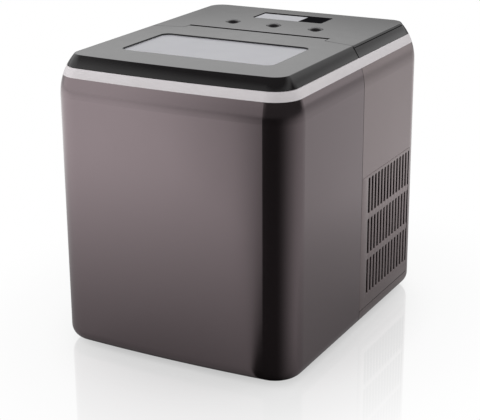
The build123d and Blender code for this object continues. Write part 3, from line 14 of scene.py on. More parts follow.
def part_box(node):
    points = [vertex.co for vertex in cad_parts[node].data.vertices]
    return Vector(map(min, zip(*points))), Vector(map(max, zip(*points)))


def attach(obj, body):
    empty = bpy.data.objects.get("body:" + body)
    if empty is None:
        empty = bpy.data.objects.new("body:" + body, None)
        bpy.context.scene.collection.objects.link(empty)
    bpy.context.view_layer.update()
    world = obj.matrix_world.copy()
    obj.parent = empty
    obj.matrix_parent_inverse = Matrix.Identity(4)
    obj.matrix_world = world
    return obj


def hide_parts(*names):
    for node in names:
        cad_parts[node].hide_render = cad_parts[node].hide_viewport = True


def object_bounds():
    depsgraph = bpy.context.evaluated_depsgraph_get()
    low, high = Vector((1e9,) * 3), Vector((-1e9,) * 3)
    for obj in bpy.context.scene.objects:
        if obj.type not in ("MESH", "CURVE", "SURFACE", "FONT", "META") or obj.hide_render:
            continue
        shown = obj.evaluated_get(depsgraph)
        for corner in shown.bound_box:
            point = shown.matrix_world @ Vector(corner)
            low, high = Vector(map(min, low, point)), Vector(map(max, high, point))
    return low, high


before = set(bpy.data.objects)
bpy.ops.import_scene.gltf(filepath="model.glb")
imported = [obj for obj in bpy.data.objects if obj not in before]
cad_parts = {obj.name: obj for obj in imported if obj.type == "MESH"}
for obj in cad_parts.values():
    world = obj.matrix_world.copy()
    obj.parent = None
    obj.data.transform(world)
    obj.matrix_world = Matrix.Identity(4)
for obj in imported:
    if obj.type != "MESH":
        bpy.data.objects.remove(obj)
CAD_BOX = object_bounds()

LOG = logging.getLogger("ice_maker")
MM = 0.001
WELD = 1e-6
SMOOTH_ANGLE = math.radians(32)
IMAGE_WIDTH = 480

Colour = tuple[float, float, float, float]
Point = tuple[float, float, float]
Socket = bpy.types.NodeSocket
Value = Union[Socket, float, Point, Colour]
Inputs = dict[Union[int, str], Value]


class Body(Enum):
    """The bodies that new pieces ride on."""

    CABINET = "cabinet"
    POWER = "power_button"
    SELECT = "select_button"
    START = "start_button"


class Axis(Enum):
    """The direction that a brushed or drawn grain runs along, as a stretch of the noise."""

    X = (0.02, 1.0, 1.0)
    Z = (1.0, 1.0, 0.02)


def shade(*levels: int) -> Colour:
    """Turn a display colour's three levels, from 0 to 255, into the linear colour that a shader takes."""
    parts = [level / 255 for level in levels]
    return (*(p / 12.92 if p <= 0.04045 else ((p + 0.055) / 1.055) ** 2.4 for p in parts), 1.0)


def scaled(colour: Colour, factor: float) -> Colour:
    """Give a lighter or darker version of a colour."""
    return (colour[0] * factor, colour[1] * factor, colour[2] * factor, 1.0)


class Wiring:
    """A node tree that is built up node by node."""

    def __init__(self, tree: bpy.types.NodeTree) -> None:
        """Take over a tree, without the nodes that it came with."""
        self.tree = tree
        self.tree.nodes.clear()

    def give(self, target: Socket, value: Value) -> None:
        """Give an input a link or a constant.

        Args:
            target: The input.
            value: The socket to link it to, or the constant.
        """
        if isinstance(value, Socket):
            self.tree.links.new(value, target)
        else:
            target.default_value = value

    def add(self, kind: str, inputs: Optional[Inputs] = None, **settings: object) -> bpy.types.Node:
        """Add a node.

        Args:
            kind: The node's type name.
            inputs: Links and constants for its inputs, by their names or numbers.
            settings: Values for the node's own properties.

        Returns:
            The new node.
        """
        node = self.tree.nodes.new(kind)
        for key, value in settings.items():
            setattr(node, key, value)
        for key, value in (inputs or {}).items():
            self.give(node.inputs[key], value)
        return node

    def sum_of(self, kind: str, *values: Value) -> Socket:
        """Combine numbers, each a socket or a constant, by a math node of a kind."""
        return self.add("ShaderNodeMath", dict(enumerate(values)), operation=kind).outputs["Value"]

    def vector_of(self, kind: str, *values: Value) -> Socket:
        """Combine vectors into a vector, or into a number for a length or a dot product."""
        result = "Value" if kind in ("LENGTH", "DOT_PRODUCT") else "Vector"
        return self.add("ShaderNodeVectorMath", dict(enumerate(values)), operation=kind).outputs[result]

    def axes_of(self, vector: Socket) -> bpy.types.NodeOutputs:
        """Split a vector into its X, Y and Z sockets."""
        return self.add("ShaderNodeSeparateXYZ", {"Vector": vector}).outputs

    def span(self, source: Socket, low: float, high: float, start: float = 0.3, end: float = 0.7,
             curve: str = "SMOOTHSTEP") -> Socket:
        """Spread a value over a range.

        Args:
            source: The socket to read.
            low: The result at start.
            high: The result at end.
            start: The source value that gives low.
            end: The source value that gives high.
            curve: How the result goes from one to the other, by its node name.

        Returns:
            The socket with the result.
        """
        ends = {"Value": source, "From Min": start, "From Max": end, "To Min": low, "To Max": high}
        return self.add("ShaderNodeMapRange", ends, interpolation_type=curve).outputs["Result"]


class Shader(Wiring):
    """One node material on Object coordinates, built up socket by socket."""

    def __init__(self, name: str) -> None:
        """Start a material with a principled shader.

        Args:
            name: The material's name.
        """
        self.material = bpy.data.materials.new(name)
        self.material.use_nodes = True
        super().__init__(self.material.node_tree)
        self.surface = self.add("ShaderNodeBsdfPrincipled")
        self.output = self.add("ShaderNodeOutputMaterial", {"Surface": self.surface.outputs["BSDF"]})
        self.place = self.add("ShaderNodeTexCoord").outputs["Object"]

    def set(self, **values: Value) -> None:
        """Give the principled shader links or constants, with underscores for spaces in socket names."""
        for key, value in values.items():
            self.give(self.surface.inputs[key.replace("_", " ")], value)

    def noise(self, size: float, detail: float, stretch: Point = (1.0, 1.0, 1.0)) -> Socket:
        """Add a noise pattern.

        Args:
            size: The size of one blotch, in metres.
            detail: How much finer noise is added.
            stretch: A factor for each axis, small along a grain.

        Returns:
            The socket with the noise, from 0 to 1.
        """
        mapping = self.add("ShaderNodeMapping", {"Scale": stretch, "Vector": self.place})
        inputs = {"Scale": 1 / size, "Detail": detail, "Vector": mapping.outputs["Vector"]}
        return self.add("ShaderNodeTexNoise", inputs).outputs["Fac"]

    def cells(self, size: float) -> Socket:
        """Add a pattern of round cells and return its distance socket."""
        pattern = self.add("ShaderNodeTexVoronoi", {"Scale": 1 / size, "Vector": self.place})
        return pattern.outputs["Distance"]

    def blend(self, factor: Socket, first: Value, second: Value) -> Socket:
        """Mix two colours by a varying share of the second, on the mix node's sockets for colours."""
        inputs = {"Factor": factor, 6: first, 7: second}
        return self.add("ShaderNodeMix", inputs, data_type="RGBA").outputs[2]

    def mix(self, share: Socket, first: Socket, second: Socket) -> Socket:
        """Mix two surfaces, with a share of the second."""
        return self.add("ShaderNodeMixShader", {0: share, 1: first, 2: second}).outputs["Shader"]

    def raise_grain(self, height: Socket, depth: float, strength: float) -> None:
        """Bump the surface by a pattern from 0 to 1, with the grain's depth in metres."""
        node = self.add("ShaderNodeBump", {"Distance": depth, "Strength": strength, "Height": height})
        self.set(Normal=node.outputs["Normal"])


@dataclass(frozen=True)
class Finish:
    """A surface finish with a base colour, gloss and fine grain.

    The three details say how much finer noise is in its blotches, its smears and its grain.
    """

    name: str
    colour: Colour
    roughness: float = 0.4
    grain: float = 0.6 * MM
    depth: float = 0.02 * MM
    drift: float = 0.12
    shine: float = 0.5
    blotch: float = 40 * MM
    smear: float = 14 * MM
    details: Point = (4.0, 5.0, 3.0)
    uneven: tuple[float, float] = (0.9, 1.12)
    bump: float = 1.0

    def paint(self) -> bpy.types.Material:
        """Make the material.

        Returns:
            The new material.
        """
        shader = Shader(self.name)
        self.dress(shader)
        return shader.material

    def tones(self) -> tuple[Colour, Colour]:
        """Give the darkest and the lightest tone of the colour."""
        return scaled(self.colour, 1 - self.drift), scaled(self.colour, 1 + self.drift)

    def gloss(self, shader: Shader, pattern: Socket) -> None:
        """Vary the roughness with a pattern, between two shares of the finish's own."""
        least, most = (self.roughness * share for share in self.uneven)
        shader.set(Roughness=shader.span(pattern, least, most))

    def dress(self, shader: Shader) -> None:
        """Give the shader a moulded surface: slight blotches, uneven gloss and a fine grain.

        Args:
            shader: The shader to set up.
        """
        shader.set(Specular_IOR_Level=self.shine)
        blotch, smear, grain = self.details
        patches = shader.span(shader.noise(self.blotch, blotch), 0.0, 1.0)
        shader.set(Base_Color=shader.blend(patches, *self.tones()))
        self.gloss(shader, shader.noise(self.smear, smear))
        shader.raise_grain(shader.noise(self.grain, grain), self.depth, self.bump)


@dataclass(frozen=True)
class BodyPaint(Finish):
    """Satin metallic paint with fine flakes."""

    flake: float = 0.35 * MM
    smear: float = 60 * MM
    uneven: tuple[float, float] = (0.94, 1.06)
    bump: float = 0.6

    def dress(self, shader: Shader) -> None:
        """Give the shader flakes, uneven gloss and a faint orange peel.

        Args:
            shader: The shader to set up.
        """
        shader.set(Metallic=1.0)
        flakes = shader.span(shader.cells(self.flake), 0.0, 1.0, 0.1, 0.75)
        dark, light = self.tones()
        shader.set(Base_Color=shader.blend(flakes, light, dark))
        self.gloss(shader, shader.noise(self.smear, 4.0))
        shader.raise_grain(shader.noise(self.grain, 2.0), self.depth, self.bump)


@dataclass(frozen=True)
class Metal(Finish):
    """Bare or plated metal, with an optional grain that runs one way."""

    run: Optional[Axis] = None
    stain: Optional[Colour] = None
    metallic: float = 1.0
    blotch: float = 18 * MM
    uneven: tuple[float, float] = (0.75, 1.3)
    bump: float = 0.5

    def dress(self, shader: Shader) -> None:
        """Give the shader its metal, its stain and its drawn or brushed grain.

        Args:
            shader: The shader to set up.
        """
        shader.set(Metallic=self.metallic)
        stretch = self.run.value if self.run else (1.0, 1.0, 1.0)
        cloud = shader.span(shader.noise(self.blotch, 5.0, stretch), 0.0, 1.0, 0.35, 0.8)
        shader.set(Base_Color=shader.blend(cloud, self.colour, self.stain or self.tones()[0]))
        streak = shader.noise(self.grain, 4.0, stretch)
        self.gloss(shader, streak)
        shader.raise_grain(streak, self.depth, self.bump)


@dataclass(frozen=True)
class Pane(Finish):
    """A clear or frosted plastic pane."""

    clear: float = 0.3
    ior: float = 1.49
    blotch: float = 50 * MM
    smear: float = 30 * MM
    details: Point = (3.0, 1.0, 2.0)
    uneven: tuple[float, float] = (0.94, 1.06)
    bump: float = 0.4

    def dress(self, shader: Shader) -> None:
        """Give the shader its see-through share and a faint wave."""
        super().dress(shader)
        shader.set(Transmission_Weight=self.clear, IOR=self.ior)


@dataclass(frozen=True)
class Foam(Finish):
    """Rigid blown foam with open cells."""

    cell: float = 1.4 * MM
    depth: float = 0.4 * MM
    blotch: float = 30 * MM
    rough: tuple[float, float] = (0.75, 0.95)

    def dress(self, shader: Shader) -> None:
        """Give the shader its cells and yellowed patches.

        Args:
            shader: The shader to set up.
        """
        cells = shader.cells(self.cell)
        patches = shader.span(shader.noise(self.blotch, 4.0), 0.0, 1.0)
        shader.set(Base_Color=shader.blend(patches, *self.tones()))
        shader.set(Roughness=shader.span(cells, *self.rough))
        shader.raise_grain(cells, self.depth, self.bump)


@dataclass(frozen=True)
class Board(Finish):
    """A lacquered circuit board with copper tracks under the lacquer."""

    track: float = 2.4 * MM
    track_colour: Colour = shade(58, 122, 74)
    depth: float = 0.05 * MM
    rough: tuple[float, float] = (0.28, 0.42)

    def dress(self, shader: Shader) -> None:
        """Give the shader rows of tracks that break off and step aside.

        Args:
            shader: The shader to set up.
        """
        bricks = shader.add("ShaderNodeTexBrick", {
            "Scale": 1.0, "Brick Width": 5 * self.track, "Row Height": self.track,
            "Mortar Size": 0.3 * self.track, "Vector": shader.place,
        })
        tracks = bricks.outputs["Fac"]
        shader.set(Base_Color=shader.blend(tracks, self.track_colour, self.colour))
        shader.set(Roughness=shader.span(tracks, *self.rough, 0.0, 1.0))
        shader.raise_grain(tracks, self.depth, self.bump)


@dataclass(frozen=True)
class LensWithPaintedReflection(Pane):
    """A dark display lens with no gloss of its own: its pale field is a painted reflection, the dark lines
    along its left and rear are painted shade, and its right end is dark.
    """

    dark: Colour = shade(18, 18, 20)
    dark_from: float = 13.4 * MM
    shadow_line_from: float = 13.6 * MM
    left_shadow_from: float = -43.2 * MM
    edge: float = 0.4 * MM
    centre: Point = (0.0, 0.0, 0.0)
    drift: float = 0.04
    smear: float = 6 * MM
    uneven: tuple[float, float] = (0.9, 1.2)

    def beyond(self, shader: Shader, place: Socket, line: float, side: int) -> Socket:
        """Give the share of a place past a line, on its upper (1) or lower (-1) side."""
        return shader.span(place, 0.0, 1.0, line - side * self.edge, line + side * self.edge)

    def dress(self, shader: Shader) -> None:
        """Give the shader its painted reflection, its painted shade lines and its dark end.

        Args:
            shader: The shader to set up.
        """
        shader.set(IOR=self.ior, Transmission_Weight=self.clear, Specular_IOR_Level=self.shine)
        axes = shader.axes_of(shader.vector_of("SUBTRACT", shader.place, self.centre))
        # The left and rear lines are painted shade along the recess wall round the lens; the dark right end
        # is the lens's own colour.
        end = self.beyond(shader, axes["X"], self.dark_from, 1)
        rear_shadow_line = self.beyond(shader, axes["Y"], self.shadow_line_from, 1)
        left = self.beyond(shader, axes["X"], self.left_shadow_from, -1)
        shadow_lines_and_dark_end = shader.sum_of("MAXIMUM", left, shader.sum_of("MAXIMUM", end, rear_shadow_line))
        # The pale field is a painted reflection of the ceiling, with a faint random grain.
        grain = shader.noise(self.smear, 3.0)
        pale = shader.blend(shader.span(grain, 0.0, 1.0), *self.tones())
        shader.set(Base_Color=shader.blend(shadow_lines_and_dark_end, pale, self.dark))
        self.gloss(shader, grain)


class Looks:
    """Every finish on the machine, made once each and shared."""

    BODY = BodyPaint("body_paint", shade(140, 128, 131), roughness=0.16, grain=1.6 * MM, depth=0.003 * MM,
                     drift=0.06)
    REAR = BodyPaint("rear_paint", shade(158, 145, 146), roughness=0.23, grain=1.6 * MM, depth=0.003 * MM,
                     drift=0.06)
    BAND = Metal("trim_silver", shade(221, 216, 218), roughness=0.4, grain=0.5 * MM, depth=0.003 * MM,
                 drift=0.04, metallic=0.15)
    GLOSS = Finish("gloss_black", shade(24, 22, 23), roughness=0.08, grain=2.0 * MM, depth=0.002 * MM,
                   drift=0.08)
    # The pane's light grey is partly its own frosted grey and partly a painted reflection of a bright
    # ceiling.
    WINDOW = Pane("window_pane", shade(164, 164, 169), roughness=0.3, grain=8 * MM, depth=0.001 * MM,
                  drift=0.02, clear=0.06)
    BUTTON = Finish("button_black", shade(18, 17, 18), roughness=0.16, grain=1.2 * MM, depth=0.002 * MM)
    LINER = Finish("liner_plastic", shade(206, 208, 209), roughness=0.36, grain=0.7 * MM, depth=0.012 * MM,
                   drift=0.03)
    SEAL = Finish("seal_rubber", shade(58, 58, 60), roughness=0.62, grain=0.5 * MM, depth=0.02 * MM)
    TANK = Finish("tank_plastic", shade(196, 200, 203), roughness=0.3, grain=0.9 * MM, depth=0.012 * MM,
                  drift=0.03)
    FOAM = Foam("foam", shade(222, 205, 160), drift=0.1)
    BASKET = Pane("basket_plastic", shade(214, 221, 226), roughness=0.24, depth=0.01 * MM, drift=0.04)
    TRAY = Finish("tray_plastic", shade(214, 214, 210), roughness=0.32, drift=0.03)
    NICKEL = Metal("nickel_tube", shade(205, 200, 190), roughness=0.2, depth=0.01 * MM, drift=0.15)
    COPPER = Metal("copper", shade(206, 132, 94), roughness=0.28, grain=0.5 * MM, depth=0.01 * MM,
                   stain=shade(128, 72, 52))
    # The fins' near-black is painted shade, so that the vent slots in front of the condenser look dark.
    FINS = Metal("fin_aluminium", shade(34, 35, 37), roughness=0.5, grain=0.8 * MM, depth=0.01 * MM,
                 run=Axis.Z, metallic=0.3)
    SHEET = Metal("inner_sheet", shade(168, 170, 172), roughness=0.42, grain=3.0 * MM, depth=0.01 * MM,
                  drift=0.2)
    COMPRESSOR = Finish("compressor_paint", shade(30, 31, 33), roughness=0.34, grain=1.2 * MM,
                        depth=0.03 * MM)
    MOTOR = Metal("motor_case", shade(120, 122, 126), roughness=0.38, grain=0.7 * MM, run=Axis.X,
                  drift=0.15)
    FAN = Finish("fan_plastic", shade(44, 45, 47), roughness=0.42)
    SENSOR = Finish("sensor_black", shade(22, 20, 24), roughness=0.18, grain=1.0 * MM, depth=0.003 * MM)
    CIRCUIT = Board("circuit_board", shade(26, 84, 46))
    HOSE = Finish("hose_rubber", shade(196, 200, 198), roughness=0.38, grain=0.8 * MM, depth=0.01 * MM,
                  drift=0.06)
    FOOT = Finish("foot_rubber", shade(34, 34, 35), roughness=0.7, grain=0.4 * MM, depth=0.03 * MM)
    STEEL = Metal("fastener_steel", shade(190, 190, 192), roughness=0.3, grain=0.25 * MM, depth=0.008 * MM,
                  stain=shade(120, 118, 114))
    DRAIN = Finish("drain_black", shade(36, 35, 36), roughness=0.45)

    def __init__(self) -> None:
        """Start with no material made."""
        self.made: dict[str, bpy.types.Material] = {}

    def get(self, finish: Finish) -> bpy.types.Material:
        """Give a finish's material, made at its first use."""
        return self.made.get(finish.name) or self.made.setdefault(finish.name, finish.paint())


LOOKS = Looks()


def coat(node: str, finish: Finish) -> None:
    """Give a CAD node that keeps its shape a finish.

    Args:
        node: The CAD node's name.
        finish: The finish for all its faces.
    """
    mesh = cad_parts[node].data
    mesh.materials.clear()
    mesh.materials.append(LOOKS.get(finish))
    LOG.info("%s keeps its CAD shape, in %s", node, finish.name)


def to_mesh(work: bmesh.types.BMesh, name: str) -> bpy.types.Mesh:
    """Turn finished mesh work into a smooth-shaded mesh.

    Args:
        work: The mesh being built, which is freed.
        name: The new mesh's name.

    Returns:
        The mesh.
    """
    bmesh.ops.remove_doubles(work, verts=work.verts, dist=WELD)
    bmesh.ops.recalc_face_normals(work, faces=work.faces)
    mesh = bpy.data.meshes.new(name)
    work.to_mesh(mesh)
    work.free()
    mesh.shade_smooth()
    mesh.set_sharp_from_angle(angle=SMOOTH_ANGLE)
    return mesh


def piece(name: str, mesh: bpy.types.Mesh, body: Body, node: str) -> None:
    """Stand a finished mesh in the scene as a piece of the machine.

    Args:
        name: The piece's name.
        mesh: Its mesh, in place and with its materials.
        body: The body that it rides on.
        node: The CAD node that it stands for.
    """
    thing = bpy.data.objects.new(name, mesh)
    bpy.context.scene.collection.objects.link(thing)
    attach(thing, body.value)
    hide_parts(node)
    LOG.info("%s rides on %s, %d faces", name, body.value, len(mesh.polygons))


def add_rings(work: bmesh.types.BMesh, rings: Sequence[Sequence[Vector]],
              close_start: bool = True, close_end: bool = True) -> None:
    """Skin a row of closed rings with equal counts of points.

    Args:
        work: The mesh to add to.
        rings: The rings, each a list of points.
        close_start: Whether the first ring gets a cap.
        close_end: Whether the last ring gets a cap.
    """
    rows = [[work.verts.new(p) for p in ring] for ring in rings]
    count = len(rows[0])
    for lower, upper in zip(rows, rows[1:]):
        for index in range(count):
            after = (index + 1) % count
            work.faces.new((lower[index], lower[after], upper[after], upper[index]))
    if close_start:
        work.faces.new(list(reversed(rows[0])))
    if close_end:
        work.faces.new(rows[-1])


def turned(profile: Sequence[tuple[float, float]], steps: int) -> list[list[Vector]]:
    """Give the rings of a shape turned about Z, from the radius (not zero) and height of each."""
    turns = [2 * math.pi * i / steps for i in range(steps)]
    return [[Vector((r * math.cos(t), r * math.sin(t), z)) for t in turns] for r, z in profile]


def rounded_loop(width: float, height: float, radius: float, steps: int = 6) -> list[tuple[float, float]]:
    """Give a rounded rectangle about the origin, counter-clockwise.

    Args:
        width: Its width.
        height: Its height.
        radius: Its corner radius.
        steps: Points in each corner.

    Returns:
        Its points in the plane.
    """
    points = []
    for quarter, (sx, sy) in enumerate(((1, 1), (-1, 1), (-1, -1), (1, -1))):
        cx, cy = sx * (width / 2 - radius), sy * (height / 2 - radius)
        for step in range(steps):
            turn = math.pi / 2 * (quarter + step / (steps - 1))
            points.append((cx + radius * math.cos(turn), cy + radius * math.sin(turn)))
    return points


class Repeater(Wiring):
    """A Geometry Nodes tree that sets copies of an item on a grid or on the points of a mesh."""

    SOCKETS = {
        "Columns": "Int", "Rows": "Int", "Width": "Float", "Height": "Float", "Turn": "Vector",
        "Middle": "Vector", "Spin": "Float", "Item": "Object", "Finish": "Material",
    }
    GRID = {"Width": "Size X", "Height": "Size Y", "Columns": "Vertices X", "Rows": "Vertices Y"}
    SEED = 7

    def __init__(self, name: str, on_points: bool) -> None:
        """Build the tree.

        Args:
            name: The tree's name.
            on_points: Whether items sit on the points of the mesh, and not on a grid of the tree's own.
        """
        super().__init__(bpy.data.node_groups.new(name, "GeometryNodeTree"))
        self.keys: dict[str, str] = {}
        face = self.tree.interface
        face.new_socket(name="Geometry", in_out="INPUT", socket_type="NodeSocketGeometry")
        for label, kind in self.SOCKETS.items():
            socket = face.new_socket(name=label, in_out="INPUT", socket_type="NodeSocket" + kind)
            self.keys[label] = socket.identifier
        face.new_socket(name="Geometry", in_out="OUTPUT", socket_type="NodeSocketGeometry")
        self.given = self.add("NodeGroupInput").outputs
        self.wire(self.given["Geometry"] if on_points else self.points_of_grid())

    def points_of_grid(self) -> Socket:
        """Lay a grid of points, turned and moved into place.

        Returns:
            The socket with the points.
        """
        sizes = {key: self.given[label] for label, key in self.GRID.items()}
        move = self.add("GeometryNodeTransform", {
            "Geometry": self.add("GeometryNodeMeshGrid", sizes).outputs["Mesh"],
            "Rotation": self.given["Turn"], "Translation": self.given["Middle"],
        })
        return move.outputs["Geometry"]

    def wire(self, points: Socket) -> None:
        """Set the item on each point with a random spin, realise the copies and give them their finish.

        Args:
            points: The socket with the points.
        """
        item = self.add("GeometryNodeObjectInfo", {"Object": self.given["Item"]})
        spin = self.add("FunctionNodeRandomValue", {"Seed": self.SEED}, data_type="FLOAT")
        floats = [s for s in spin.inputs if s.type == "VALUE"]
        self.give(floats[1], self.given["Spin"])
        turn = self.add("ShaderNodeCombineXYZ", {"Z": next(s for s in spin.outputs if s.type == "VALUE")})
        copies = self.add("GeometryNodeInstanceOnPoints", {
            "Points": points, "Instance": item.outputs["Geometry"], "Rotation": turn.outputs["Vector"],
        })
        real = self.add("GeometryNodeRealizeInstances", {"Geometry": copies.outputs["Instances"]})
        dress = self.add("GeometryNodeSetMaterial", {
            "Geometry": real.outputs["Geometry"], "Material": self.given["Finish"],
        })
        self.add("NodeGroupOutput", {"Geometry": dress.outputs["Geometry"]})

    def run(self, item: bpy.types.Mesh, finish: Finish, points: Sequence[Point] = (),
            **sizes: object) -> bpy.types.Mesh:
        """Make the copies as one plain mesh.

        Args:
            item: The mesh of one copy, which is removed afterwards.
            finish: The finish of every copy.
            points: The places of the copies, for a tree that works on points.
            sizes: Values for the tree's other named inputs.

        Returns:
            The joined mesh.
        """
        sample = bpy.data.objects.new("item", item)
        seat = bpy.data.meshes.new("seat")
        seat.from_pydata(list(points), [], [])
        holder = bpy.data.objects.new("holder", seat)
        for thing in (sample, holder):
            bpy.context.scene.collection.objects.link(thing)
        modifier = holder.modifiers.new("copies", "NODES")
        modifier.node_group = self.tree
        values = {"Item": sample, "Finish": LOOKS.get(finish), **sizes}
        for label, value in values.items():
            modifier[self.keys[label]] = value
        bpy.context.view_layer.update()
        graph = bpy.context.evaluated_depsgraph_get()
        joined = bpy.data.meshes.new_from_object(holder.evaluated_get(graph))
        holder.modifiers.clear()
        for thing in (holder, sample):
            bpy.data.objects.remove(thing)
        for mesh in (seat, item):
            bpy.data.meshes.remove(mesh)
        return joined


ON_POINTS = Repeater("items_on_points", True)
ON_GRID = Repeater("items_on_grid", False)


@dataclass
class Grille:
    """A vent panel in a side wall: a plate with rows of slots whose edges are rolled inwards."""

    node: str
    side: int
    columns: int = 14
    rows: int = 3
    pitch: float = 9.15 * MM
    row_pitch: float = 48.5 * MM
    slot_width: float = 4.6 * MM
    slot_height: float = 41.0 * MM
    slot_corner: float = 1.15 * MM
    first_slot: float = 20.6 * MM
    low_slot: float = 15.7 * MM
    roll: float = 0.7 * MM
    roll_steps: int = 4
    edge: float = 0.5 * MM
    lip: float = 4.0 * MM
    skin: float = 2.2 * MM

    def __post_init__(self) -> None:
        """Take the panel's place from its CAD node."""
        low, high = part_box(self.node)
        self.outer_x = high.x if self.side > 0 else low.x
        self.thickness = high.x - low.x
        self.low = (low.y, low.z + self.lip)
        self.high = (high.y, high.z - self.lip)

    def rolled(self, radius: float) -> list[tuple[float, float]]:
        """Give the steps of a rolled edge as growth of the outline and depth below the face."""
        turns = [math.pi / 2 * step / self.roll_steps for step in range(self.roll_steps + 1)]
        return [(radius * (1 - math.sin(t)), radius * (1 - math.cos(t))) for t in turns]

    def slot_edge(self) -> bpy.types.Mesh:
        """Give one slot's rolled edge and throat, about the origin.

        Returns:
            The slot's mesh.
        """
        work = bmesh.new()
        rings = []
        for grow, deep in self.rolled(self.roll) + [(0.0, self.thickness)]:
            wide, tall = self.slot_width + 2 * grow, self.slot_height + 2 * grow
            loop = rounded_loop(wide, tall, self.slot_corner + grow)
            rings.append([Vector((-self.side * deep, y, z)) for y, z in loop])
        add_rings(work, rings, close_start=False, close_end=False)
        return to_mesh(work, "slot_edge")

    def rim(self, work: bmesh.types.BMesh) -> None:
        """Add the panel's rolled outer edge, its sides and the lip behind the cover.

        Args:
            work: The mesh to add to.
        """
        width, height = self.high[0] - self.low[0], self.high[1] - self.low[1]
        middle = ((self.low[0] + self.high[0]) / 2, (self.low[1] + self.high[1]) / 2)
        steps = [(-grow, -grow, deep) for grow, deep in self.rolled(self.edge)]
        steps += [(0.0, 0.0, self.skin), (0.0, self.lip, self.skin), (0.0, self.lip, self.thickness)]
        rings = []
        for wide, tall, deep in steps:
            loop = rounded_loop(width + 2 * wide, height + 2 * tall, self.edge)
            x = self.outer_x - self.side * deep
            rings.append([Vector((x, middle[0] + y, middle[1] + z)) for y, z in loop])
        add_rings(work, rings, close_start=False, close_end=False)

    def build(self) -> None:
        """Make the panel with all its slots as one piece."""
        run_y, run_z = (self.columns - 1) * self.pitch, (self.rows - 1) * self.row_pitch
        first = (self.low[0] + self.first_slot, self.low[1] + self.low_slot + self.slot_height / 2)
        slots = ON_GRID.run(
            self.slot_edge(), Looks.REAR, Columns=self.columns, Rows=self.rows, Width=run_y, Height=run_z,
            Turn=(math.pi / 2, 0.0, math.pi / 2),
            Middle=(self.outer_x, first[0] + run_y / 2, first[1] + run_z / 2),
        )
        work = bmesh.new()
        work.from_mesh(slots)
        bpy.data.meshes.remove(slots)
        self.rim(work)
        bmesh.ops.remove_doubles(work, verts=work.verts, dist=WELD)
        for deep in (0.0, self.thickness):
            x = self.outer_x - self.side * deep
            rims = [e for e in work.edges if e.is_boundary and all(abs(v.co.x - x) < WELD for v in e.verts)]
            bmesh.ops.triangle_fill(work, edges=rims, use_beauty=True, use_dissolve=False)
        # Faces deeper than the rolled edges, chiefly the slot throats, take the black fan plastic as
        # painted shade inside the slots.
        for face in work.faces:
            deep = self.side * (self.outer_x - face.calc_center_median().x)
            face.material_index = 1 if deep > self.roll else 0
        name = self.node + "_panel"
        mesh = to_mesh(work, name)
        mesh.materials.clear()
        for finish in (Looks.REAR, Looks.FAN):
            mesh.materials.append(LOOKS.get(finish))
        piece(name, mesh, Body.CABINET, self.node)


@dataclass
class Dressed:
    """A sub-assembly whose CAD nodes keep their shape and get a finish each."""

    finishes: dict[str, Finish] = field(default_factory=dict)

    def build(self) -> None:
        """Finish the nodes."""
        for node, finish in self.finishes.items():
            coat(node, finish)


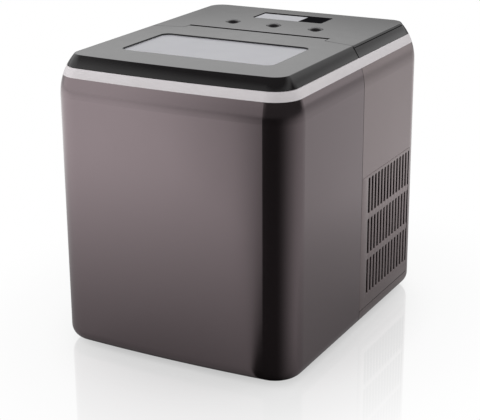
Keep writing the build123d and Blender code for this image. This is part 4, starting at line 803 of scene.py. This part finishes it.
@dataclass
class Underside(Dressed):
    """The base: pan, ribbed rubber feet and cross-head screws."""

    finishes: dict[str, Finish] = field(default_factory=lambda: {"base_pan": Looks.SHEET})
    foot_radius: float = 10.0 * MM
    foot_core: float = 0.12
    foot_edge: float = 0.5 * MM
    foot_steps: int = 40
    groove: float = 0.6 * MM
    grooves: tuple[float, ...] = (0.34, 0.64)
    head_radius: float = 3.3 * MM
    head_height: float = 1.8 * MM
    head_steps: int = 24
    shank_radius: float = 1.5 * MM
    shank_point: float = 0.4 * MM
    cross: float = 1.9 * MM
    cross_arms: int = 4
    cross_corner: float = 0.675 * MM
    cross_depth: float = 1.0 * MM
    cross_taper: float = 0.6
    screw_gap: float = 13.2 * MM
    spin: float = 6.28

    def foot(self, height: float) -> bpy.types.Mesh:
        """Give one foot with a ringed sole, standing on its sole.

        Args:
            height: The foot's height.

        Returns:
            The foot's mesh.
        """
        rim, edge, deep = self.foot_radius, self.foot_edge, self.groove
        sole = [(self.foot_core, 0.0)]
        for start in self.grooves:
            sole += [(start, 0.0), (start + 0.03, deep), (start + 0.11, deep), (start + 0.14, 0.0)]
        sole += [(0.93, 0.0), (0.98, 0.25 * MM), (1.0, 0.9 * MM)]
        top = [(rim, height - edge), (rim - edge, height), (rim * self.foot_core, height)]
        work = bmesh.new()
        add_rings(work, turned([(rim * share, level) for share, level in sole] + top, self.foot_steps))
        return to_mesh(work, "foot")

    def screw(self, height: float) -> bpy.types.Mesh:
        """Give one screw with a domed cross-head, head down, with its underside at the origin.

        Args:
            height: The length of the shank.

        Returns:
            The screw's mesh.
        """
        rim, tall, shank = self.head_radius, self.head_height, self.shank_radius
        head = [(0.62 * rim, -tall), (0.85 * rim, -0.86 * tall), (rim, -0.5 * tall), (rim, 0.0)]
        stem = [(shank, 0.0), (shank, height - self.shank_point), (0.6 * shank, height)]
        rings = turned(head + stem, self.head_steps)
        work = bmesh.new()
        add_rings(work, rings, close_start=False)
        mouth = []
        for index in range(self.head_steps):
            turn = 2 * math.pi * index / self.head_steps
            on_arm = index % (self.head_steps // self.cross_arms) == 0
            reach = self.cross if on_arm else self.cross_corner
            mouth.append(Vector((reach * math.cos(turn), reach * math.sin(turn), -tall)))
        taper = self.cross_taper
        floor = [Vector((taper * p.x, taper * p.y, self.cross_depth - tall)) for p in mouth]
        add_rings(work, [rings[0], mouth, floor], close_start=False)
        return to_mesh(work, "screw")

    def screw_places(self, level: float) -> list[Point]:
        """Read the screws' places from the middles of the CAD screws' own clusters.

        Args:
            level: The height of the heads' undersides.

        Returns:
            One place for each screw.
        """
        clusters: list[list[Vector]] = []
        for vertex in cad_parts["base_screws"].data.vertices:
            near = (c for c in clusters if (c[0].xy - vertex.co.xy).length < self.screw_gap)
            home = next(near, None)
            if home is None:
                clusters.append([vertex.co.copy()])
            else:
                home.append(vertex.co.copy())
        places = []
        for cluster in clusters:
            xs, ys = [v.x for v in cluster], [v.y for v in cluster]
            places.append(((min(xs) + max(xs)) / 2, (min(ys) + max(ys)) / 2, level))
        return places

    def build(self) -> None:
        """Finish the pan and make the feet and screws."""
        super().build()
        low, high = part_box("rubber_feet")
        rim = self.foot_radius
        places = [(x, y, 0.0) for x in (low.x + rim, high.x - rim) for y in (low.y + rim, high.y - rim)]
        feet = ON_POINTS.run(self.foot(high.z), Looks.FOOT, places, Spin=0.0)
        piece("rubber_feet_ribbed", feet, Body.CABINET, "rubber_feet")
        low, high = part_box("base_screws")
        level = low.z + self.head_height
        screw = self.screw(high.z - level)
        screws = ON_POINTS.run(screw, Looks.STEEL, self.screw_places(level), Spin=self.spin)
        piece("base_screws_cross", screws, Body.CABINET, "base_screws")


@dataclass
class Shells(Dressed):
    """The painted wrap, its trim band and the two vent panels."""

    finishes: dict[str, Finish] = field(default_factory=lambda: {
        "front_shell": Looks.BODY, "rear_cover": Looks.REAR, "trim_band": Looks.BAND,
        "cord_gland": Looks.BUTTON, "drain_port": Looks.DRAIN, "drain_plug": Looks.SEAL,
    })

    def build(self) -> None:
        """Finish the shells and band and make the vent panels."""
        super().build()
        for node, side in (("right_grille", 1), ("left_grille", -1)):
            Grille(node, side).build()


@dataclass
class Controls(Dressed):
    """The rear of the top: frame, panel, display lens and the three domed buttons."""

    finishes: dict[str, Finish] = field(default_factory=lambda: {
        "top_frame": Looks.GLOSS, "control_panel": Looks.GLOSS, "display_board": Looks.CIRCUIT,
    })
    radius: float = 8.5 * MM
    flange_radius: float = 10.5 * MM
    flange: float = 1.2 * MM
    flange_drop: float = 4.8 * MM
    stem_radius: float = 2.5 * MM
    stem_core: float = 0.75 * MM
    dome: float = 2.6 * MM
    edge: float = 0.4 * MM
    rings: int = 14
    steps: int = 64
    buttons: tuple[Body, ...] = (Body.POWER, Body.SELECT, Body.START)

    def cap(self, body: Body) -> bpy.types.Mesh:
        """Give one button: stem, flange and a domed cap with a broken edge.

        Args:
            body: The button's body, which has the name of its CAD node.

        Returns:
            The button's mesh.
        """
        low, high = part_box(body.value)
        flange_top = high.z - self.flange_drop
        flange_low = flange_top - self.flange
        side = [
            (self.stem_core, low.z), (self.stem_radius, low.z), (self.stem_radius, flange_low),
            (self.flange_radius, flange_low), (self.flange_radius, flange_top), (self.radius, flange_top),
            (self.radius, high.z - self.dome - self.edge),
        ]
        bulge = (self.radius ** 2 + self.dome ** 2) / (2 * self.dome)
        tilt = math.asin(self.radius / bulge)
        turns = [tilt * (step - 0.5) / self.rings for step in range(self.rings, 0, -1)]
        crown = [(bulge * math.sin(turn), high.z - bulge * (1 - math.cos(turn))) for turn in turns]
        work = bmesh.new()
        add_rings(work, turned(side + crown, self.steps))
        middle = (low + high) / 2
        bmesh.ops.translate(work, verts=work.verts, vec=Vector((middle.x, middle.y, 0.0)))
        mesh = to_mesh(work, body.value + "_cap")
        mesh.materials.append(LOOKS.get(Looks.BUTTON))
        return mesh

    def build(self) -> None:
        """Finish the panel, frame, board and lens and make the buttons."""
        super().build()
        low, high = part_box("display_lens")
        # The pale grey is a painted reflection on the dark lens, which has no gloss of its own.
        lens = LensWithPaintedReflection("display_lens", shade(172, 172, 176), roughness=0.2, clear=0.0, shine=0.0,
                          centre=tuple((low + high) / 2))
        coat("display_lens", lens)
        for body in self.buttons:
            name = body.value + "_cap"
            piece(name, self.cap(body), body, body.value)


@dataclass
class LidDress(Dressed):
    """The hinged lid with its pane, liner, seal and pins."""

    finishes: dict[str, Finish] = field(default_factory=lambda: {
        "lid": Looks.GLOSS, "lid_window": Looks.WINDOW, "lid_liner": Looks.LINER, "lid_seal": Looks.SEAL,
        "hinge_pins": Looks.STEEL,
    })


@dataclass
class IceChamber(Dressed):
    """The tank and what makes, catches and senses the ice."""

    finishes: dict[str, Finish] = field(default_factory=lambda: {
        "inner_tank": Looks.TANK, "foam_insulation": Looks.FOAM, "ice_basket": Looks.BASKET,
        "ice_chute": Looks.BASKET, "evaporator": Looks.NICKEL, "water_tray": Looks.TRAY,
        "tray_motor": Looks.MOTOR, "ice_sensors": Looks.SENSOR, "water_pump": Looks.MOTOR,
        "suction_hose": Looks.HOSE, "fill_hose": Looks.HOSE,
    })


@dataclass
class Machinery(Dressed):
    """The cooling machinery behind the bulkhead, with a finely finned condenser."""

    finishes: dict[str, Finish] = field(default_factory=lambda: {
        "bulkhead": Looks.SHEET, "compressor": Looks.COMPRESSOR, "compressor_mounts": Looks.FOOT,
        "condenser": Looks.FINS, "fan_shroud": Looks.FAN, "fan_motor": Looks.MOTOR, "fan_rotor": Looks.FAN,
        "filter_drier": Looks.COPPER, "discharge_line": Looks.COPPER, "liquid_line": Looks.COPPER,
        "capillary_tube": Looks.COPPER, "suction_line": Looks.COPPER, "power_board": Looks.CIRCUIT,
        "mount_bolts": Looks.STEEL,
    })


@dataclass(frozen=True)
class Flag:
    """A soft dark flag on the floor: the compass angles, in degrees, where it fades in and out."""

    starts: float
    full: float
    fades: float
    ends: float
    weight: float

    def share(self, shader: Shader, turn: Socket) -> Socket:
        """Give the flag's darkness.

        Args:
            shader: The floor's shader.
            turn: The socket with the compass angle, in radians.

        Returns:
            The socket with the darkness, from 0 to the flag's weight.
        """
        angles = (self.starts, self.full, self.fades, self.ends)
        starts, full, fades, ends = (math.radians(a) for a in angles)
        rise = shader.span(turn, 0.0, self.weight, starts, full)
        fall = shader.span(turn, 1.0, 0.0, fades, ends)
        return shader.sum_of("MULTIPLY", rise, fall)


@dataclass(frozen=True)
class Card:
    """A dark card round the machine that shows in gloss alone, with its angles in degrees.

    It is dark up to low and gone from high on, or the other way round where low is the greater angle.
    """

    azimuth: float
    ends: float
    full: float
    low: float
    high: float
    dark: float


@dataclass(frozen=True)
class Lamp:
    """A soft square lamp: its power in watts, the length of its sides and its place in metres."""

    name: str
    power: float
    size: float
    place: Point

    def hang(self, aim: Point) -> None:
        """Hang the lamp, out of sight of gloss.

        Args:
            aim: The point that it faces.
        """
        light = bpy.data.lights.new(self.name, "AREA")
        light.energy = self.power
        light.size = self.size
        thing = bpy.data.objects.new(self.name, light)
        thing.visible_glossy = False
        thing.location = self.place
        thing.rotation_euler = (Vector(aim) - Vector(self.place)).to_track_quat("-Z", "Y").to_euler()
        bpy.context.scene.collection.objects.link(thing)


class Sky(Wiring):
    """The world round the machine."""

    def __init__(self, name: str) -> None:
        """Start a world, with its directions and kinds of ray at hand.

        Args:
            name: The world's name.
        """
        self.world = bpy.data.worlds.new(name)
        self.world.use_nodes = True
        super().__init__(self.world.node_tree)
        self.path = self.add("ShaderNodeLightPath").outputs
        self.way = self.add("ShaderNodeTexCoord").outputs["Generated"]
        self.rise = self.axes_of(self.way)["Z"]

    def card(self, card: Card) -> Socket:
        """Stand a card in the world.

        Args:
            card: The card.

        Returns:
            The socket with the light that it leaves, from 0 to 1.
        """
        turn, ends, full, low, high = (
            math.radians(a) for a in (card.azimuth, card.ends, card.full, card.low, card.high))
        along = self.vector_of("DOT_PRODUCT", self.way, (math.sin(turn), -math.cos(turn), 0.0))
        wide = self.span(along, 0.0, 1.0, math.cos(ends), math.cos(full), "LINEAR")
        tall = self.span(self.rise, card.dark, 0.0, math.sin(low), math.sin(high), "LINEAR")
        return self.sum_of("SUBTRACT", 1.0, self.sum_of("MULTIPLY", wide, tall))

    def light(self, plain: Socket, gloss: Socket) -> None:
        """Light the world in white, with one strength for gloss and one for all else.

        Args:
            plain: The socket with the plain strength.
            gloss: The socket with the strength that gloss shows.
        """
        choice = self.add("ShaderNodeMix", {"Factor": self.path["Is Glossy Ray"], "A": plain, "B": gloss})
        strength = choice.outputs["Result"]
        light = self.add("ShaderNodeBackground", {"Color": (1.0, 1.0, 1.0, 1.0), "Strength": strength})
        self.add("ShaderNodeOutputWorld", {"Surface": light.outputs["Background"]})


@dataclass
class Studio:
    """A pale floor, soft lamps, a white surround and the camera at the photograph's angle."""

    focal_pixels: float = 1353.6
    azimuth: float = 28.19
    pitch: float = 19.07
    roll: float = -0.425
    eye: Point = (0.6923, -1.3060, 0.6342)
    sensor: float = 36.0
    clip_end: float = 50.0
    floor_size: float = 12.0
    floor_colour: Colour = (0.96, 0.96, 0.96, 1.0)
    floor_roughness: float = 0.09
    floor_ior: float = 1.35
    ambient: float = 0.66
    flag_colour: Colour = (0.012, 0.011, 0.011, 1.0)
    flag_inset: float = 0.034
    flags: tuple[Flag, ...] = (
        Flag(-25, -17, 30, 130, 0.5), Flag(-38, -26, 140, 188, 0.24), Flag(-25, -15, 150, 190, 0.24))
    shade_depth: float = 0.6
    shade_from: float = 0.2
    shade_until: float = 1.05
    clear_least: float = 0.7
    clear_from: float = 1.0
    clear_until: float = 1.6
    mirror_near: float = 0.26
    mirror_until: float = 2.6
    mirror_roughness: float = 0.025
    sky_dark: float = 0.1
    sky_falls: tuple[float, float] = (34.0, 50.0)
    cards: tuple[Card, ...] = (
        Card(-172, 22, 12, 11, 13.5, 0.75), Card(-150, 60, 40, 10.6, 11.6, 0.55),
        Card(62, 98, 72, 30, 40, 0.94), Card(158, 26, 16, 18.5, 12.5, 0.65))
    lamps: tuple[Lamp, ...] = (
        Lamp("key_lamp", 26.0, 1.6, (-2.1, -0.8, 1.8)), Lamp("fill_lamp", 12.0, 1.4, (1.2, 0.9, 2.4)),
        Lamp("top_lamp", 16.0, 1.8, (0.0, 0.8, 2.4)))
    aim: Point = (0.0, 0.0, 0.15)

    def camera(self) -> None:
        """Make the camera and give it to the scene."""
        lens = bpy.data.cameras.new("camera")
        lens.sensor_width = self.sensor
        lens.lens = self.focal_pixels * self.sensor / IMAGE_WIDTH
        lens.clip_end = self.clip_end
        eye = bpy.data.objects.new("camera", lens)
        place = Matrix.Translation(self.eye)
        for angle, axis in ((self.azimuth, "Z"), (90 - self.pitch, "X"), (self.roll, "Z")):
            place = place @ Matrix.Rotation(math.radians(angle), 4, axis)
        eye.matrix_world = place
        bpy.context.scene.collection.objects.link(eye)
        bpy.context.scene.camera = eye

    def surround(self) -> None:
        """Light all round: white to the eye, and in gloss a bright wall under a dim ceiling."""
        sky = Sky("surround")
        start, end = (math.sin(math.radians(a)) for a in self.sky_falls)
        wall = sky.span(sky.rise, 1.0, self.sky_dark, start, end, "LINEAR")
        for card in self.cards:
            wall = sky.sum_of("MULTIPLY", wall, sky.card(card))
        seen = sky.sum_of("MAXIMUM", sky.path["Is Camera Ray"], sky.path["Is Transmission Ray"])
        sky.light(sky.span(seen, self.ambient, 1.0, 0.0, 1.0, "LINEAR"), wall)
        bpy.context.scene.world = sky.world

    def dark_share(self, shader: Shader) -> Socket:
        """Give how dark the floor shows in gloss: flags round the front right corner, and shade near by.

        Args:
            shader: The floor's shader.

        Returns:
            The socket with the dark share, from 0 to 1.
        """
        low, high = CAD_BOX
        corner = (high[0] - self.flag_inset, low[1] + self.flag_inset, 0.0)
        axes = shader.axes_of(shader.vector_of("SUBTRACT", shader.place, corner))
        turn = shader.sum_of("ARCTAN2", axes["X"], shader.sum_of("MULTIPLY", axes["Y"], -1.0))
        # The angle's jump is moved to the left, where no flag lies.
        turn = shader.sum_of("WRAP", turn, 3 * math.pi / 2, -math.pi / 2)
        total: Value = 0.0
        for flag in self.flags:
            total = shader.sum_of("ADD", total, flag.share(shader, turn))
        near = shader.span(self.reach(shader), self.shade_depth, 0.0, self.shade_from, self.shade_until)
        return shader.sum_of("MAXIMUM", total, near)

    def reach(self, shader: Shader, unit: Point = (1.0, 1.0, 1.0)) -> Socket:
        """Give the distance from the machine's middle, in units of so many metres along each axis."""
        return shader.vector_of("LENGTH", shader.vector_of("DIVIDE", shader.place, unit))

    def floor_finish(self) -> bpy.types.Material:
        """Make the floor's material: dark flags in gloss, to the eye white with a faint mirror image.

        Returns:
            The material.
        """
        shader = Shader("studio_floor")
        shader.set(Base_Color=self.floor_colour, Roughness=self.floor_roughness, IOR=self.floor_ior)
        path = shader.add("ShaderNodeLightPath").outputs
        dark = shader.add("ShaderNodeBsdfDiffuse", {"Color": self.flag_colour})
        flag = shader.sum_of("MULTIPLY", self.dark_share(shader), path["Is Glossy Ray"])
        mirrored = shader.mix(flag, shader.surface.outputs["BSDF"], dark.outputs["BSDF"])
        white = shader.add("ShaderNodeEmission")
        low, high = CAD_BOX
        reach = self.reach(shader, ((high[0] - low[0]) / 2, (high[1] - low[1]) / 2, 1.0))
        mirror = shader.add("ShaderNodeBsdfAnisotropic", {"Roughness": self.mirror_roughness})
        faint = shader.span(reach, self.mirror_near, 0.0, self.clear_from, self.mirror_until)
        polished = shader.mix(faint, white.outputs["Emission"], mirror.outputs["BSDF"])
        far = shader.span(reach, self.clear_least, 1.0, self.clear_from, self.clear_until)
        seen = shader.sum_of("MULTIPLY", far, path["Is Camera Ray"])
        shader.give(shader.output.inputs["Surface"], shader.mix(seen, mirrored, polished))
        return shader.material

    def floor(self) -> None:
        """Lay the floor."""
        half = self.floor_size / 2
        corners = [(x * half, y * half, 0.0) for x, y in ((-1, -1), (1, -1), (1, 1), (-1, 1))]
        mesh = bpy.data.meshes.new("floor")
        mesh.from_pydata(corners, [], [(0, 1, 2, 3)])
        mesh.materials.append(self.floor_finish())
        ground = bpy.data.objects.new("floor", mesh)
        bpy.context.scene.collection.objects.link(ground)

    def build(self) -> None:
        """Set up the whole studio."""
        bpy.context.scene.view_settings.view_transform = "Standard"
        self.camera()
        self.surround()
        self.floor()
        for lamp in self.lamps:
            lamp.hang(self.aim)


def main() -> None:
    """Dress the machine piece by piece, then light it."""
    logging.basicConfig(level=logging.INFO, format="%(name)s: %(message)s")
    assemblies = (Shells(), Underside(), Controls(), LidDress(), IceChamber(), Machinery())
    for assembly in assemblies:
        LOG.info("dressing the %s", type(assembly).__name__)
        assembly.build()
    Studio().build()


if __name__ == "__main__":
    main()
